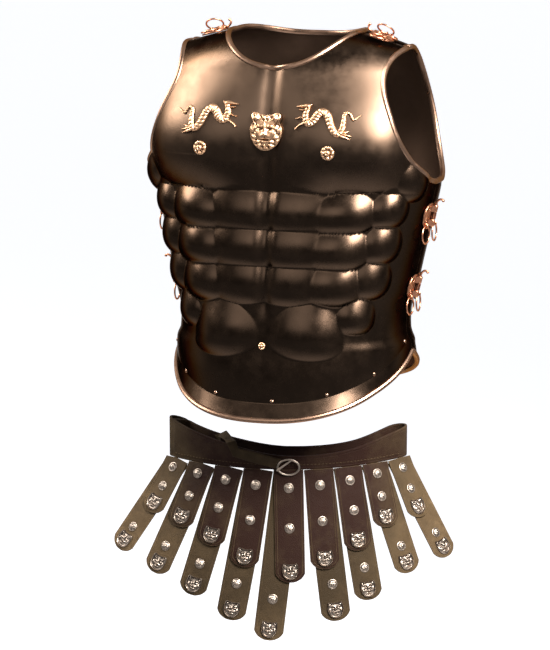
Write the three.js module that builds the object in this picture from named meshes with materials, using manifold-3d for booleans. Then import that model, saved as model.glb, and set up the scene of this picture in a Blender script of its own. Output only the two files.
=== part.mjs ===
// Muscled bronze cuirass with its separate belt of leather pteruges.
// Millimetres, +Z up, the front faces -Y and the wearer's left is +X.
// The origin lies on the axis of the torso, at the height of the waist.

import * as THREE from 'three';
import { mergeVertices } from 'three/addons/utils/BufferGeometryUtils.js';
import Module from 'manifold-3d';

const wasm = await Module();
wasm.setup();

// Driving sizes of the cuirass
const chest_half_width = 206;
const chest_half_depth = 140;
const dome_level = 250;
const armpit_level = 208;
const armhole_lift = 6;
const armhole_radius = 88;
const armhole_front_reach = 92;
const armhole_back_reach = 76;
const armhole_back_offset = 14;
const shoulder_rise = 23;
const armhole_foot_level = armpit_level + armhole_lift;
const neck_top_level = armhole_foot_level + 2 * armhole_radius + shoulder_rise;
const neck_half_width = 89;
const neck_drop = 40;
const back_neck_drop = 9;
const shoulder_half_width = 172;
const shoulder_fall = 52;
const ridge_back_offset = 8;
const hem_front_drop = 112;
const hem_back_drop = 96;
const hem_side_drop = 28;
const flange_width = 26;
const flange_flare = 9;
const sheet_thickness = 1.5;
const rim_bulge = 1.8;
const rim_width = 6;
const plate_gap = 0.5;
const seat_clearance = 0.35;
const join_overlap = 0.4;

// Muscles: how far the largest ones stand out
const pectoral_rise = 25;
const muscle_rise = 11;
const groove_depth = 5;
const shoulder_blade_rise = 9;

// Closures: two leaves, a pin and two rings at each of six places
const leaf_length = 34;
const leaf_reach = 20;
const leaf_thickness = 2.2;
const leaf_inset = 4.5;
const hinge_length = 30;
const barrel_radius = 3.4;
const pin_radius = 1.6;
const pin_clearance = 0.3;
const knuckle_gap = 1.0;
const pin_tail = 3;
const pin_hook_reach = 9;
const ring_radius = 12;
const ring_wire_radius = 1.25;
const lug_radius = 3.6;
const lug_thickness = 2.2;
const lug_clearance = 0.6;
const lug_lift = 2.1;
const side_upper_level = 166;
const side_lower_level = 66;
const side_standoff = 7;
const shoulder_standoff = 6.4;
const shoulder_closure_offset = 124;

// The axis that the back plate swings about, on the wearer's right
const swing_foot_offset = 171.5;
const swing_top_offset = 208.5;

// Ornaments on the chest
const lion_width = 46;
const lion_height = 51;
const lion_rise = 11;
const lion_level = 281;
const dragon_length = 84;
const dragon_height = 42;
const dragon_rise = 4.5;
const dragon_level = 299;
const dragon_offset = 84;
const rosette_radius = 9.5;
const rosette_rise = 6;
const rosette_level = 260;
const rosette_offset = 88;
const navel_stud_radius = 5;
const navel_stud_rise = 4;
const navel_level = -8;
const rivet_radius = 3;
const rivet_rise = 2.2;

// Belt: a folded loop of leather that lies close behind its own front
const belt_level = -190;
const belt_shift = -12;
const belt_turn = 21;
const belt_tilt = 5;
const belt_front_radius = 238;
const belt_half_width = 168;
const belt_corner_radius = 15;
const belt_fold_depth = 56;
const belt_bow = 18.7;
const band_thickness = 3.6;
const band_end_height = 60;
const band_right_height = 46;
const band_middle_height = 20;
const strap_width = 40;
const strap_thickness = 2.2;
const strap_gap = 0.5;
const strap_pitch = 42.3;
const long_strap_length = 238;
const short_strap_length = 156;
const strap_flare = 16;
const strap_end_flare = 30;
const stud_radius = 8;
const stud_rise = 4;
const mask_radius = 12;
const mask_rise = 3.4;
const fastening_width = 15;
const fastening_thickness = 2.4;
const fastening_anchor = 96;
const buckle_half_width = 15;
const buckle_half_height = 11;
const buckle_wire_radius = 1.4;
const prong_length = 26;

// Facet counts
const front_columns = 30;
const front_rows = 24;
const back_columns = 14;
const back_rows = 12;
const rivet_sides = 6;
const rosette_sides = 12;
const navel_sides = 7;
const stroke_sides = 4;
const barrel_sides = 8;
const bore_sides = 6;
const ring_steps = 12;
const ring_sides = 5;
const buckle_steps = 18;
const stud_sides = 7;
const band_steps = 16;
const fold_steps = 6;
const search_rounds = 40;

// Tolerances of the calculation
const weld_distance = 1e-4;
const near_zero = 1e-6;
const search_step = 0.002;
const normal_step_share = 0.004;
const probe_angle = 0.4;

const degree = Math.PI / 180;
const quarter = Math.PI / 2;

const bronze = { color: 0x2e211b, roughness: 0.28, metalness: 0.9 };
const gilt = { color: 0xc98f6c, roughness: 0.35, metalness: 0.9 };
const leather = { color: 0x3a2a20, roughness: 0.6, metalness: 0.0 };
const tan_leather = { color: 0x6b4f33, roughness: 0.6, metalness: 0.0 };
const steel = { color: 0x9a948c, roughness: 0.35, metalness: 0.9 };

const model = new THREE.Group();

// Small helpers

function clamp(value, low, high) {
  return Math.min(high, Math.max(low, value));
}

function mix(a, b, t) {
  return a + (b - a) * t;
}

function smooth(t) {
  const c = clamp(t, 0, 1);
  return c * c * (3 - 2 * c);
}

function power(value, exponent) {
  return Math.sign(value) * Math.pow(Math.abs(value), exponent);
}

// A smooth curve through rows of [place, value]
function tableValue(rows, place) {
  const last = rows.length - 1;
  const p = clamp(place, rows[0][0], rows[last][0]);
  let k = 0;
  while (k < last - 1 && p > rows[k + 1][0]) k += 1;
  const before = rows[Math.max(k - 1, 0)];
  const a = rows[k];
  const b = rows[k + 1];
  const after = rows[Math.min(k + 2, last)];
  const span = b[0] - a[0];
  const t = (p - a[0]) / span;
  const slopeA = (b[1] - before[1]) / (b[0] - before[0]);
  const slopeB = (after[1] - a[1]) / (after[0] - a[0]);
  const t2 = t * t;
  const t3 = t2 * t;
  return (2 * t3 - 3 * t2 + 1) * a[1] + (t3 - 2 * t2 + t) * span * slopeA
    + (3 * t2 - 2 * t3) * b[1] + (t3 - t2) * span * slopeB;
}

function toSolid(geometry) {
  const plain = geometry.index ? geometry.toNonIndexed() : geometry.clone();
  plain.deleteAttribute('normal');
  plain.deleteAttribute('uv');
  const merged = mergeVertices(plain, weld_distance);
  return new wasm.Manifold(new wasm.Mesh({
    numProp: 3,
    vertProperties: new Float32Array(merged.attributes.position.array),
    triVerts: new Uint32Array(merged.index.array),
  }));
}

function toGeometry(solid) {
  const mesh = solid.getMesh();
  const geometry = new THREE.BufferGeometry();
  geometry.setAttribute('position', new THREE.BufferAttribute(new Float32Array(mesh.vertProperties), 3));
  geometry.setIndex(new THREE.BufferAttribute(new Uint32Array(mesh.triVerts), 1));
  return geometry;
}

function joined(geometries) {
  let solid = toSolid(geometries[0]);
  for (const geometry of geometries.slice(1)) solid = solid.add(toSolid(geometry));
  return solid;
}

function addMesh(name, geometry, look, parent = model) {
  geometry.computeVertexNormals();
  const mesh = new THREE.Mesh(geometry, new THREE.MeshStandardMaterial(look));
  mesh.name = name;
  parent.add(mesh);
  return mesh;
}

// A closed body from rings of points, each ring with as many points, with flat ends
function loft(rings, closed = false) {
  const sides = rings[0].length;
  const positions = [];
  for (const ring of rings) for (const point of ring) positions.push(point.x, point.y, point.z);
  const index = [];
  const steps = closed ? rings.length : rings.length - 1;
  for (let i = 0; i < steps; i += 1) {
    const next = (i + 1) % rings.length;
    for (let j = 0; j < sides; j += 1) {
      const k = (j + 1) % sides;
      index.push(i * sides + j, next * sides + j, next * sides + k);
      index.push(i * sides + j, next * sides + k, i * sides + k);
    }
  }
  if (!closed) {
    const end = (rings.length - 1) * sides;
    for (let j = 1; j < sides - 1; j += 1) {
      index.push(0, j, j + 1);
      index.push(end, end + j + 1, end + j);
    }
  }
  const geometry = new THREE.BufferGeometry();
  geometry.setAttribute('position', new THREE.Float32BufferAttribute(positions, 3));
  geometry.setIndex(index);
  return facingOut(geometry);
}

function facingOut(geometry) {
  const p = geometry.attributes.position;
  const index = geometry.index.array;
  const a = new THREE.Vector3();
  const b = new THREE.Vector3();
  const c = new THREE.Vector3();
  let volume = 0;
  for (let i = 0; i < index.length; i += 3) {
    a.fromBufferAttribute(p, index[i]);
    b.fromBufferAttribute(p, index[i + 1]);
    c.fromBufferAttribute(p, index[i + 2]);
    volume += a.dot(b.cross(c));
  }
  if (volume < 0) {
    for (let i = 0; i < index.length; i += 3) {
      const keep = index[i + 1];
      index[i + 1] = index[i + 2];
      index[i + 2] = keep;
    }
  }
  return geometry;
}

// The torso. A place on it is an angle p round the body, zero at the front and positive
// to the wearer's left, and a height s, 0 at the lowest ring, 1 where the shoulders
// begin to close and 2 on the ridge of the shoulders.

const lowest_level = -150;
const level_shares = [-1.34, -0.73, -0.36, -0.2, -0.07, 0.0, 0.16, 0.31, 0.53, 0.745, 1.0, 1.2];
const half_width_shares = [0.78, 0.74, 0.765, 0.805, 0.812, 0.785, 0.788, 0.83, 0.878, 0.927, 0.985, 1.0];
const front_depth_shares = [1.09, 1.06, 1.0, 0.97, 0.945, 0.94, 0.925, 0.915, 0.9, 0.875, 0.83, 0.8];
const back_depth_shares = [0.97, 0.93, 0.86, 0.81, 0.78, 0.77, 0.78, 0.82, 0.9, 0.965, 1.0, 1.0];
const seat_steps = 8;
const seat_step_angle = 2;
const seat_step_share = 0.012;
const seat_spare_share = 2;
const settle_travel = 8;
const settle_rounds = 12;
const ring_fullness_share = 0.86;
const dome_fullness_share = 0.8;

function levelTable(shares, size) {
  return level_shares.map((level, k) => [level * armpit_level, shares[k] * size]);
}

const half_widths = levelTable(half_width_shares, chest_half_width);
const front_depths = levelTable(front_depth_shares, chest_half_depth);
const back_depths = levelTable(back_depth_shares, chest_half_depth);

function levelOf(s) {
  return lowest_level + (dome_level - lowest_level) * s;
}

function ringPoint(p, level) {
  const width = tableValue(half_widths, level);
  const depth = Math.cos(p) >= 0 ? tableValue(front_depths, level) : tableValue(back_depths, level);
  const x = width * power(Math.sin(p), ring_fullness_share);
  const y = -depth * power(Math.cos(p), ring_fullness_share);
  return new THREE.Vector3(x, y, level);
}

const ridge_rounding = neck_half_width / 2;

function ridgePoint(p) {
  const x = shoulder_half_width * power(Math.sin(p), ring_fullness_share);
  const slope = shoulder_fall / (2 * (shoulder_half_width - neck_half_width));
  const neck = Math.hypot(neck_half_width, ridge_rounding);
  const z = neck_top_level - slope * (Math.hypot(x, ridge_rounding) - neck);
  return new THREE.Vector3(x, ridge_back_offset, z);
}

function basePoint(p, s) {
  if (s <= 1) return ringPoint(p, levelOf(s));
  const low = ringPoint(p, dome_level);
  const top = ridgePoint(p);
  const w = (s - 1) * quarter;
  const inward = 1 - Math.pow(Math.max(Math.cos(w), 0), dome_fullness_share);
  const upward = Math.pow(Math.sin(w), dome_fullness_share);
  return new THREE.Vector3(mix(low.x, top.x, inward), mix(low.y, top.y, inward), mix(low.z, top.z, upward));
}

function baseNormal(p, s) {
  const step = normal_step_share;
  const limit = 2 - 2 * step;
  const around = basePoint(p + step, Math.min(s, limit)).sub(basePoint(p - step, Math.min(s, limit)));
  const up = basePoint(p, Math.min(s + step, 2 - step)).sub(basePoint(p, Math.min(s, limit) - step));
  const normal = around.cross(up).normalize();
  const seam = Math.abs(Math.cos(p)) < near_zero || s > limit;
  if (seam) normal.setY(0).normalize();
  return normal;
}

// Muscles, each as [angle, level share, half angle, half height share, rise share].
// Levels and heights are shares of the armpit level.
const front_muscle_shares = [
  [9, 0.885, 8.5, 0.098, 0.6],
  [9.5, 0.645, 8.5, 0.105, 0.65],
  [9.5, 0.395, 8.5, 0.105, 0.6],
  [30, 0.89, 11, 0.098, 1.0],
  [30, 0.652, 11, 0.105, 1.0],
  [29, 0.405, 11, 0.105, 0.9],
  [53, 0.93, 9.5, 0.1, 0.95],
  [53, 0.69, 9.5, 0.1, 0.95],
  [52, 0.445, 9.5, 0.1, 0.85],
  [47, 0.21, 9.5, 0.085, 0.75],
  [68, 1.03, 8, 0.1, 0.6],
  [23, 0.09, 14, 0.12, 0.75],
  [12, -0.22, 22, 0.2, 0.45],
];
const muscle_edge_power = 2.6;
const pectoral_angle = 33;
const pectoral_half_angle = 28;
const pectoral_edge_power = 3;
const pectoral_foot_share = 1.0;
const pectoral_crown_share = 1.25;
const pectoral_head_share = 1.75;
const groove_half_angle = 2.5;
const groove_foot_share = 0.1;
const front_fade_angle = 14;

// Forms of the back, each as [angle from the spine, level share, half angle, half height share]
const shoulder_blade_shares = [34, 1.3, 20, 0.35];
const loin_shares = [16, 0.35, 10, 0.45];
const spine_half_angle = 6;
const spine_head_share = 1.6;
const spine_fade_share = 0.5;
const back_fade_angle = 20;
const hem_fullness_share = 0.9;
const neck_bow_power = 0.9;
const armhole_shoulder_power = 3.2;
const armhole_round_power = 2.2;
const flange_side_share = 0.2;

function lump(angle, level, shares) {
  const a = (angle - shares[0]) / shares[2];
  const b = (level / armpit_level - shares[1]) / shares[3];
  const fall = Math.pow(Math.abs(a), muscle_edge_power) + Math.pow(Math.abs(b), muscle_edge_power);
  return muscle_rise * shares[4] * Math.exp(-fall);
}

function frontMuscle(p, level) {
  const angle = Math.abs(p) / degree;
  let rise = 0;
  for (const shares of front_muscle_shares) rise += lump(angle, level, shares);
  const share = level / armpit_level;
  const below = smooth((share - pectoral_foot_share) / (pectoral_crown_share - pectoral_foot_share));
  const above = smooth((pectoral_head_share - share) / (pectoral_head_share - pectoral_crown_share));
  const side = Math.exp(-Math.pow(Math.abs(angle - pectoral_angle) / pectoral_half_angle, pectoral_edge_power));
  rise += pectoral_rise * below * above * side;
  const grooved = smooth((share - groove_foot_share) / (2 * groove_foot_share));
  rise -= groove_depth * grooved * Math.exp(-Math.pow(angle / groove_half_angle, 2));
  return rise * smooth((90 - angle) / front_fade_angle);
}

function backMuscle(p, level) {
  const angle = 180 - Math.abs(p) / degree;
  const share = level / armpit_level;
  const bell = (form) => {
    const a = (angle - form[0]) / form[2];
    const b = (share - form[1]) / form[3];
    return Math.exp(-a * a - b * b);
  };
  const spine = Math.exp(-Math.pow(angle / spine_half_angle, 2))
    * smooth((spine_head_share - share) / spine_fade_share);
  const rise = shoulder_blade_rise * bell(shoulder_blade_shares)
    + muscle_rise * bell(loin_shares) / 2 - groove_depth * spine;
  return rise * smooth((90 - angle) / back_fade_angle);
}

function hemLevel(p) {
  const drop = Math.cos(p) >= 0 ? hem_front_drop : hem_back_drop;
  return -mix(hem_side_drop, drop, Math.pow(Math.abs(Math.cos(p)), hem_fullness_share));
}

function flangeRise(p, level) {
  const above = level - hemLevel(p);
  const flare = flange_flare * mix(flange_side_share, 1, Math.abs(Math.cos(p)));
  return flare * clamp(1 - above / flange_width, 0, 1);
}

// The outer face of the sheet, with the muscles on it, and the normal there
function skin(p, s) {
  const base = basePoint(p, s);
  const normal = baseNormal(p, s);
  const rise = Math.cos(p) >= 0 ? frontMuscle(p, base.z) : backMuscle(p, base.z);
  const point = base.addScaledVector(normal, rise + flangeRise(p, base.z));
  return { point, normal };
}

function shareOfLevel(level) {
  return (level - lowest_level) / (dome_level - lowest_level);
}

// The armhole cuts the torso like a round bar through both shoulders
function insideArmhole(p, s) {
  const point = basePoint(p, s);
  const dy = point.y - armhole_back_offset;
  const dz = point.z - armhole_foot_level - armhole_radius;
  const power = dz > 0 && dy < 0 ? armhole_shoulder_power : armhole_round_power;
  const reach = dy < 0 ? armhole_front_reach : armhole_back_reach;
  return Math.pow(Math.abs(dy) / reach, power) + Math.pow(Math.abs(dz) / armhole_radius, power) < 1;
}

function sideLimit(s, front) {
  if (s < shareOfLevel(armhole_foot_level + plate_gap)) return quarter;
  let outside = 0;
  let inside = quarter;
  for (let k = 0; k < search_rounds; k += 1) {
    const middle = (outside + inside) / 2;
    if (insideArmhole(front ? middle : Math.PI - middle, s)) inside = middle;
    else outside = middle;
  }
  return outside;
}

const neck_angle = Math.asin(Math.pow(neck_half_width / shoulder_half_width, 1 / ring_fullness_share));

// The height share at which the neckline crosses the middle, for a drop below the ridge
function neckShare(drop, front) {
  let low = 1;
  let high = 2;
  const level = neck_top_level - drop;
  for (let k = 0; k < search_rounds; k += 1) {
    const middle = (low + high) / 2;
    if (basePoint(front ? 0 : Math.PI, middle).z < level) low = middle;
    else high = middle;
  }
  return low;
}

function edgeList(count, insets) {
  const list = [];
  for (let k = 0; k <= count; k += 1) {
    const t = k / count;
    list.push(insets[insets.length - 1] + (1 - 2 * insets[insets.length - 1]) * t);
  }
  return [...insets.slice(0, -1), ...list, ...insets.slice(0, -1).reverse().map((d) => 1 - d)];
}

// Rows of facets above the foot of the armhole, where its round edge turns quickest
const armhole_row_levels = [0, 3, 10, 24];

// One half of the cuirass as a sheet with rolled rims
const rim_profile_shares = [0.35, 1, 0];

function plate(front, columns, rows) {
  const arc = shoulder_half_width * Math.PI;
  const side_insets = [0, rim_width / 2 / arc, rim_width / arc];
  const height = neck_top_level + hem_front_drop;
  const top_insets = [0, rim_width / 2 / height, rim_width / height];
  const flange_share = 4 * rim_width / height;
  const u_list = edgeList(columns, side_insets).map((t) => 2 * t - 1);
  const v_list = [0, flange_share * rim_width / 2 / flange_width, flange_share * rim_width / flange_width];
  const side_hem = shareOfLevel(-hem_side_drop);
  const foot = (shareOfLevel(armhole_foot_level) - side_hem) / (2 - side_hem);
  const body_rows = [];
  for (let k = 0; k <= rows; k += 1) body_rows.push(mix(flange_share, 1 - top_insets[2], k / rows));
  const half_row = (body_rows[1] - body_rows[0]) / 2;
  const foot_rows = armhole_row_levels.map((level) => foot + shareOfLevel(level) - shareOfLevel(0));
  v_list.push(...body_rows.filter((v) => v < foot - half_row || v > foot_rows.at(-1) + half_row));
  v_list.push(...foot_rows);
  v_list.sort((a, b) => a - b);
  v_list.push(1 - top_insets[1], 1);

  const neck_share = neckShare(front ? neck_drop : back_neck_drop, front);
  const neck_u = neck_angle / sideLimit(2, front);
  for (const side of [-1, 1]) {
    let best = 3;
    for (let k = 3; k < u_list.length - 3; k += 1) {
      if (Math.abs(u_list[k] - side * neck_u) < Math.abs(u_list[best] - side * neck_u)) best = k;
    }
    u_list[best] = side * neck_u;
  }

  function shareAt(u, v) {
    const hem = shareOfLevel(hemLevel(front ? u * quarter : Math.PI - u * quarter));
    const crease = hem + shareOfLevel(flange_width) - shareOfLevel(0);
    const bow = Math.pow(Math.max(0, 1 - Math.pow(u / neck_u, 2)), neck_bow_power);
    const top = Math.abs(u) < neck_u ? 2 - (2 - neck_share) * bow : 2;
    if (v <= flange_share) return mix(hem, crease, v / flange_share);
    return mix(crease, top, (v - flange_share) / (1 - flange_share));
  }

  const last_u = u_list.length - 1;
  const last_v = v_list.length - 1;
  const outer = [];
  const inner = [];
  for (let j = 0; j <= last_v; j += 1) {
    const limit = sideLimit(shareAt(1, v_list[j]), front);
    for (let i = 0; i <= last_u; i += 1) {
      const u = u_list[i];
      const s = shareAt(u, v_list[j]);
      const turned = u * limit;
      const p = front ? turned : Math.PI - turned;
      const place = skin(p, s);
      let bulge = 0;
      if (j < 3) bulge = Math.max(bulge, rim_profile_shares[j]);
      const on_neck = last_v - j < 3 && Math.abs(u) <= neck_u + near_zero;
      if (on_neck) bulge = Math.max(bulge, rim_profile_shares[last_v - j]);
      const from_side = Math.min(i, last_u - i);
      const on_armhole = from_side < 3 && limit < quarter - near_zero;
      if (on_armhole) bulge = Math.max(bulge, rim_profile_shares[from_side]);
      const half = sheet_thickness / 2 + rim_bulge * bulge;
      const shift = front ? -plate_gap / 2 : plate_gap / 2;
      const out_point = place.point.clone().addScaledVector(place.normal, half);
      const in_point = place.point.clone().addScaledVector(place.normal, -half);
      out_point.y += shift;
      in_point.y += shift;
      outer.push(out_point);
      inner.push(in_point);
    }
  }

  const positions = [];
  for (const point of [...outer, ...inner]) positions.push(point.x, point.y, point.z);
  const index = [];
  const across = last_u + 1;
  const offset = outer.length;
  function quad(a, b, c, d) {
    index.push(a, b, c, a, c, d);
  }
  for (let j = 0; j < last_v; j += 1) {
    for (let i = 0; i < last_u; i += 1) {
      const a = j * across + i;
      quad(a, a + 1, a + across + 1, a + across);
      quad(offset + a, offset + a + across, offset + a + across + 1, offset + a + 1);
    }
    const left = j * across;
    const right = j * across + last_u;
    quad(left, left + across, offset + left + across, offset + left);
    quad(right, offset + right, offset + right + across, right + across);
  }
  for (let i = 0; i < last_u; i += 1) {
    const top = last_v * across + i;
    quad(i, offset + i, offset + i + 1, i + 1);
    quad(top, top + 1, offset + top + 1, offset + top);
  }
  const geometry = new THREE.BufferGeometry();
  geometry.setAttribute('position', new THREE.Float32BufferAttribute(positions, 3));
  geometry.setIndex(index);
  return facingOut(geometry);
}

// The place on the outer face of a plate at an offset x and a level
function placeAt(x, level, front = true) {
  let low = 0;
  let high = quarter;
  const s = shareAtLevel(level);
  for (let k = 0; k < search_rounds; k += 1) {
    const middle = (low + high) / 2;
    if (basePoint(middle, s).x < Math.abs(x)) low = middle;
    else high = middle;
  }
  const angle = Math.sign(x) * low;
  const p = front ? angle : Math.PI - angle;
  const place = { ...skin(p, s), p, s };
  place.point.addScaledVector(place.normal, sheet_thickness / 2);
  place.point.y += front ? -plate_gap / 2 : plate_gap / 2;
  return place;
}

function shareAtLevel(level) {
  if (level <= dome_level) return shareOfLevel(level);
  let low = 1;
  let high = 2;
  for (let k = 0; k < search_rounds; k += 1) {
    const middle = (low + high) / 2;
    if (basePoint(probe_angle, middle).z < level) low = middle;
    else high = middle;
  }
  return low;
}

// Lays a flat ornament, drawn in x and y with its height in z, onto the chest
function laidOnChest(geometry, centre_x, centre_level) {
  const p = geometry.attributes.position;
  for (let k = 0; k < p.count; k += 1) {
    const x = centre_x + p.getX(k);
    const place = placeAt(Math.abs(x) < near_zero ? near_zero : x, centre_level + p.getY(k));
    const point = place.point.addScaledVector(place.normal, seat_clearance + p.getZ(k));
    p.setXYZ(k, point.x, point.y, point.z);
  }
  return geometry;
}

// How far the skin under a flat back reaches above the plane of that back
function reachUnder(seat, half_x, half_y, p, s) {
  const to_seat = seat.clone().invert();
  let reach = 0;
  for (let i = -seat_steps; i <= seat_steps; i += 1) {
    for (let j = -seat_steps; j <= seat_steps; j += 1) {
      const place = skin(p + i * seat_step_angle * degree, Math.min(s + j * seat_step_share, 2));
      place.point.addScaledVector(place.normal, sheet_thickness / 2);
      place.point.applyMatrix4(to_seat);
      const under = Math.abs(place.point.x) < half_x && Math.abs(place.point.y) < half_y;
      if (under) reach = Math.max(reach, place.point.z);
    }
  }
  return reach;
}

// Breastplate and backplate

const rivet_start_angle = -75;
const rivet_step_angle = 26.5;
const rivet_count = 7;

function breastplate() {
  let solid = toSolid(plate(true, front_columns, front_rows));
  for (let k = 0; k < rivet_count; k += 1) {
    const p = (rivet_start_angle + rivet_step_angle * k) * degree;
    const level = hemLevel(p) + flange_width + rivet_radius;
    const place = skin(p, shareOfLevel(level));
    const head = new THREE.SphereGeometry(rivet_radius, rivet_sides, rivet_sides - 2);
    head.scale(1, 1, (rivet_rise + sheet_thickness / 2) / rivet_radius);
    head.applyQuaternion(new THREE.Quaternion().setFromUnitVectors(new THREE.Vector3(0, 0, 1), place.normal));
    head.translate(place.point.x, place.point.y - plate_gap / 2, place.point.z);
    solid = solid.add(toSolid(head));
  }
  return solid;
}

const breast_solid = breastplate();
addMesh('breastplate', toGeometry(breast_solid), bronze);
addMesh('backplate', plate(false, back_columns, back_rows), bronze);

// Ornaments. A stroke is a tapering bar with a flat back along a smooth line.

function stroke(points, radii, rise, steps) {
  const curve = new THREE.CatmullRomCurve3(points.map((q) => new THREE.Vector3(q[0], q[1], 0)));
  const rings = [];
  for (let k = 0; k <= steps; k += 1) {
    const t = k / steps;
    const centre = curve.getPoint(t);
    const along = curve.getTangent(t);
    const across = new THREE.Vector3(-along.y, along.x, 0);
    const place = t * (radii.length - 1);
    const whole = Math.min(Math.floor(place), radii.length - 2);
    const radius = mix(radii[whole], radii[whole + 1], place - whole);
    const ring = [];
    for (let j = 0; j <= stroke_sides; j += 1) {
      const turn = Math.PI * j / stroke_sides;
      const point = centre.clone().addScaledVector(across, radius * Math.cos(turn));
      point.z = rise * Math.sin(turn) * Math.min(1, radius / radii[1]);
      ring.push(point);
    }
    rings.push(ring);
  }
  return loft(rings);
}

// Sea-dragon, drawn facing +x, its points as shares of its length and height
const dragon_body_shares = [
  [0.30, 0.30], [0.24, 0.02], [0.16, -0.18], [0.05, 0.12], [-0.06, 0.30],
  [-0.17, 0.02], [-0.27, -0.30], [-0.37, -0.06], [-0.36, 0.26], [-0.47, 0.36],
];
const dragon_body_radius_shares = [0.10, 0.13, 0.15, 0.15, 0.14, 0.12, 0.10, 0.08, 0.06, 0.04];
const dragon_head_shares = [[0.26, 0.32], [0.36, 0.37], [0.48, 0.26]];
const dragon_head_radius_shares = [0.10, 0.13, 0.05];
const dragon_leg_shares = [
  [[0.2, -0.1], [0.33, -0.06], [0.44, -0.16]],
  [[0.17, -0.16], [0.28, -0.26], [0.37, -0.46]],
];
const dragon_leg_radius_shares = [0.09, 0.06, 0.04];
const dragon_fin_shares = [[-0.27, -0.28], [-0.4, -0.38], [-0.5, -0.4]];
const dragon_crest_shares = [[-0.36, 0.22], [-0.43, 0.4], [-0.5, 0.48]];
const dragon_fin_radius_shares = [0.1, 0.07, 0.03];

function dragon(side) {
  const place = (q) => [-side * q[0] * dragon_length, q[1] * dragon_height];
  const radii = (shares) => shares.map((share) => share * dragon_height / 2);
  const parts = [
    stroke(dragon_body_shares.map(place), radii(dragon_body_radius_shares), dragon_rise, 15),
    stroke(dragon_head_shares.map(place), radii(dragon_head_radius_shares), dragon_rise, 4),
    stroke(dragon_fin_shares.map(place), radii(dragon_fin_radius_shares), dragon_rise / 2, 3),
    stroke(dragon_crest_shares.map(place), radii(dragon_fin_radius_shares), dragon_rise / 2, 3),
  ];
  for (const leg of dragon_leg_shares) {
    parts.push(stroke(leg.map(place), radii(dragon_leg_radius_shares), dragon_rise / 2, 3));
  }
  return laidOnChest(toGeometry(joined(parts)), side * dragon_offset, dragon_level);
}

addMesh('sea_dragon_left', dragon(1), gilt);
addMesh('sea_dragon_right', dragon(-1), gilt);

// Lion mask: outline and modelled face, its points as shares of its width and height
const lion_outline_shares = [
  [0, 0.46], [0.2, 0.48], [0.38, 0.5], [0.48, 0.4], [0.45, 0.24], [0.5, 0.02],
  [0.44, -0.22], [0.3, -0.42], [0, -0.5],
];
const lion_level_shares = [[1, 0], [0.96, 0.25], [0.78, 0.5], [0.45, 0.68]];
const lion_muzzle_shares = [0.24, 0.2, 0.95];
const lion_muzzle_drop_share = 0.167;
const lion_nose_shares = [[0, 0.25], [0, 0], [0, -0.125]];
const lion_nose_radius_shares = [0.071, 0.083, 0.111];
const lion_nose_rise_share = 0.98;
const lion_brow_shares = [[0.071, 0.2], [0.25, 0.25], [0.357, 0.143]];
const lion_brow_radius_shares = [0.05, 0.083, 0.05];
const lion_brow_rise_share = 0.85;

function lionMask() {
  const half = lion_outline_shares.map((q) => [q[0] * lion_width, q[1] * lion_height]);
  const outline = [...half, ...half.slice(1, -1).reverse().map((q) => [-q[0], q[1]])];
  const rings = lion_level_shares.map(([share, lift]) => outline.map((q) => (
    new THREE.Vector3(q[0] * share, q[1] * share, lift * lion_rise))));
  const face = loft(rings);
  const muzzle = new THREE.SphereGeometry(1, 8, 6);
  muzzle.scale(lion_muzzle_shares[0] * lion_width, lion_muzzle_shares[1] * lion_height,
    lion_muzzle_shares[2] * lion_rise);
  muzzle.translate(0, -lion_height * lion_muzzle_drop_share, 0);
  const place = (side) => ([a, b]) => [side * a * lion_width, b * lion_height];
  const radii = (shares) => shares.map((share) => share * lion_width);
  const nose = stroke(lion_nose_shares.map(place(1)), radii(lion_nose_radius_shares),
    lion_rise * lion_nose_rise_share, 3);
  const brows = [-1, 1].map((side) => stroke(lion_brow_shares.map(place(side)),
    radii(lion_brow_radius_shares), lion_rise * lion_brow_rise_share, 3));
  const cut = new THREE.BoxGeometry(2 * lion_width, 2 * lion_height, 2 * lion_rise);
  cut.translate(0, 0, -lion_rise);
  const solid = joined([face, muzzle, nose, ...brows]).subtract(toSolid(cut));
  return toGeometry(solid);
}

// The mask bridges the hollow between the breasts, so it stands on its widest place
function seatedMask() {
  const geometry = lionMask();
  const places = [];
  for (const x of [-lion_width / 2, -lion_width / 4, near_zero, lion_width / 4, lion_width / 2]) {
    for (const y of [-lion_height / 2, 0, lion_height / 2]) places.push(placeAt(x, lion_level + y).point);
  }
  const low = places[0];
  const high = places[2];
  const up = high.clone().sub(low).setX(0).normalize();
  const out = new THREE.Vector3(0, -up.z, up.y);
  const reach = Math.max(...places.map((q) => q.dot(out)));
  const centre = placeAt(near_zero, lion_level).point;
  centre.addScaledVector(out, reach + seat_clearance - centre.dot(out));
  const frame = new THREE.Matrix4().makeBasis(new THREE.Vector3(1, 0, 0), up, out);
  geometry.applyMatrix4(frame);
  geometry.translate(centre.x, centre.y, centre.z);
  return geometry;
}

addMesh('lion_mask', seatedMask(), gilt);

const rosette_profile_shares = [[1, 0], [0.95, 0.35], [0.7, 0.5], [0.5, 0.45], [0.42, 0.9], [0.2, 1]];

function turnedStud(radius, rise, sides) {
  const profile = [new THREE.Vector2(0, 0)];
  for (const [r, h] of rosette_profile_shares) profile.push(new THREE.Vector2(r * radius, h * rise));
  profile.push(new THREE.Vector2(0, rise));
  const stud = new THREE.LatheGeometry(profile, sides);
  stud.rotateX(quarter);
  return stud;
}

// The way the modelled skin faces at a place, taken across a span of it
function facingAt(place, span) {
  const turn = span / chest_half_width;
  const lift = span / (dome_level - lowest_level);
  const around = skin(place.p + turn, place.s).point.sub(skin(place.p - turn, place.s).point);
  const up = skin(place.p, place.s + lift).point.sub(skin(place.p, place.s - lift).point);
  return around.cross(up).normalize();
}

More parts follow.
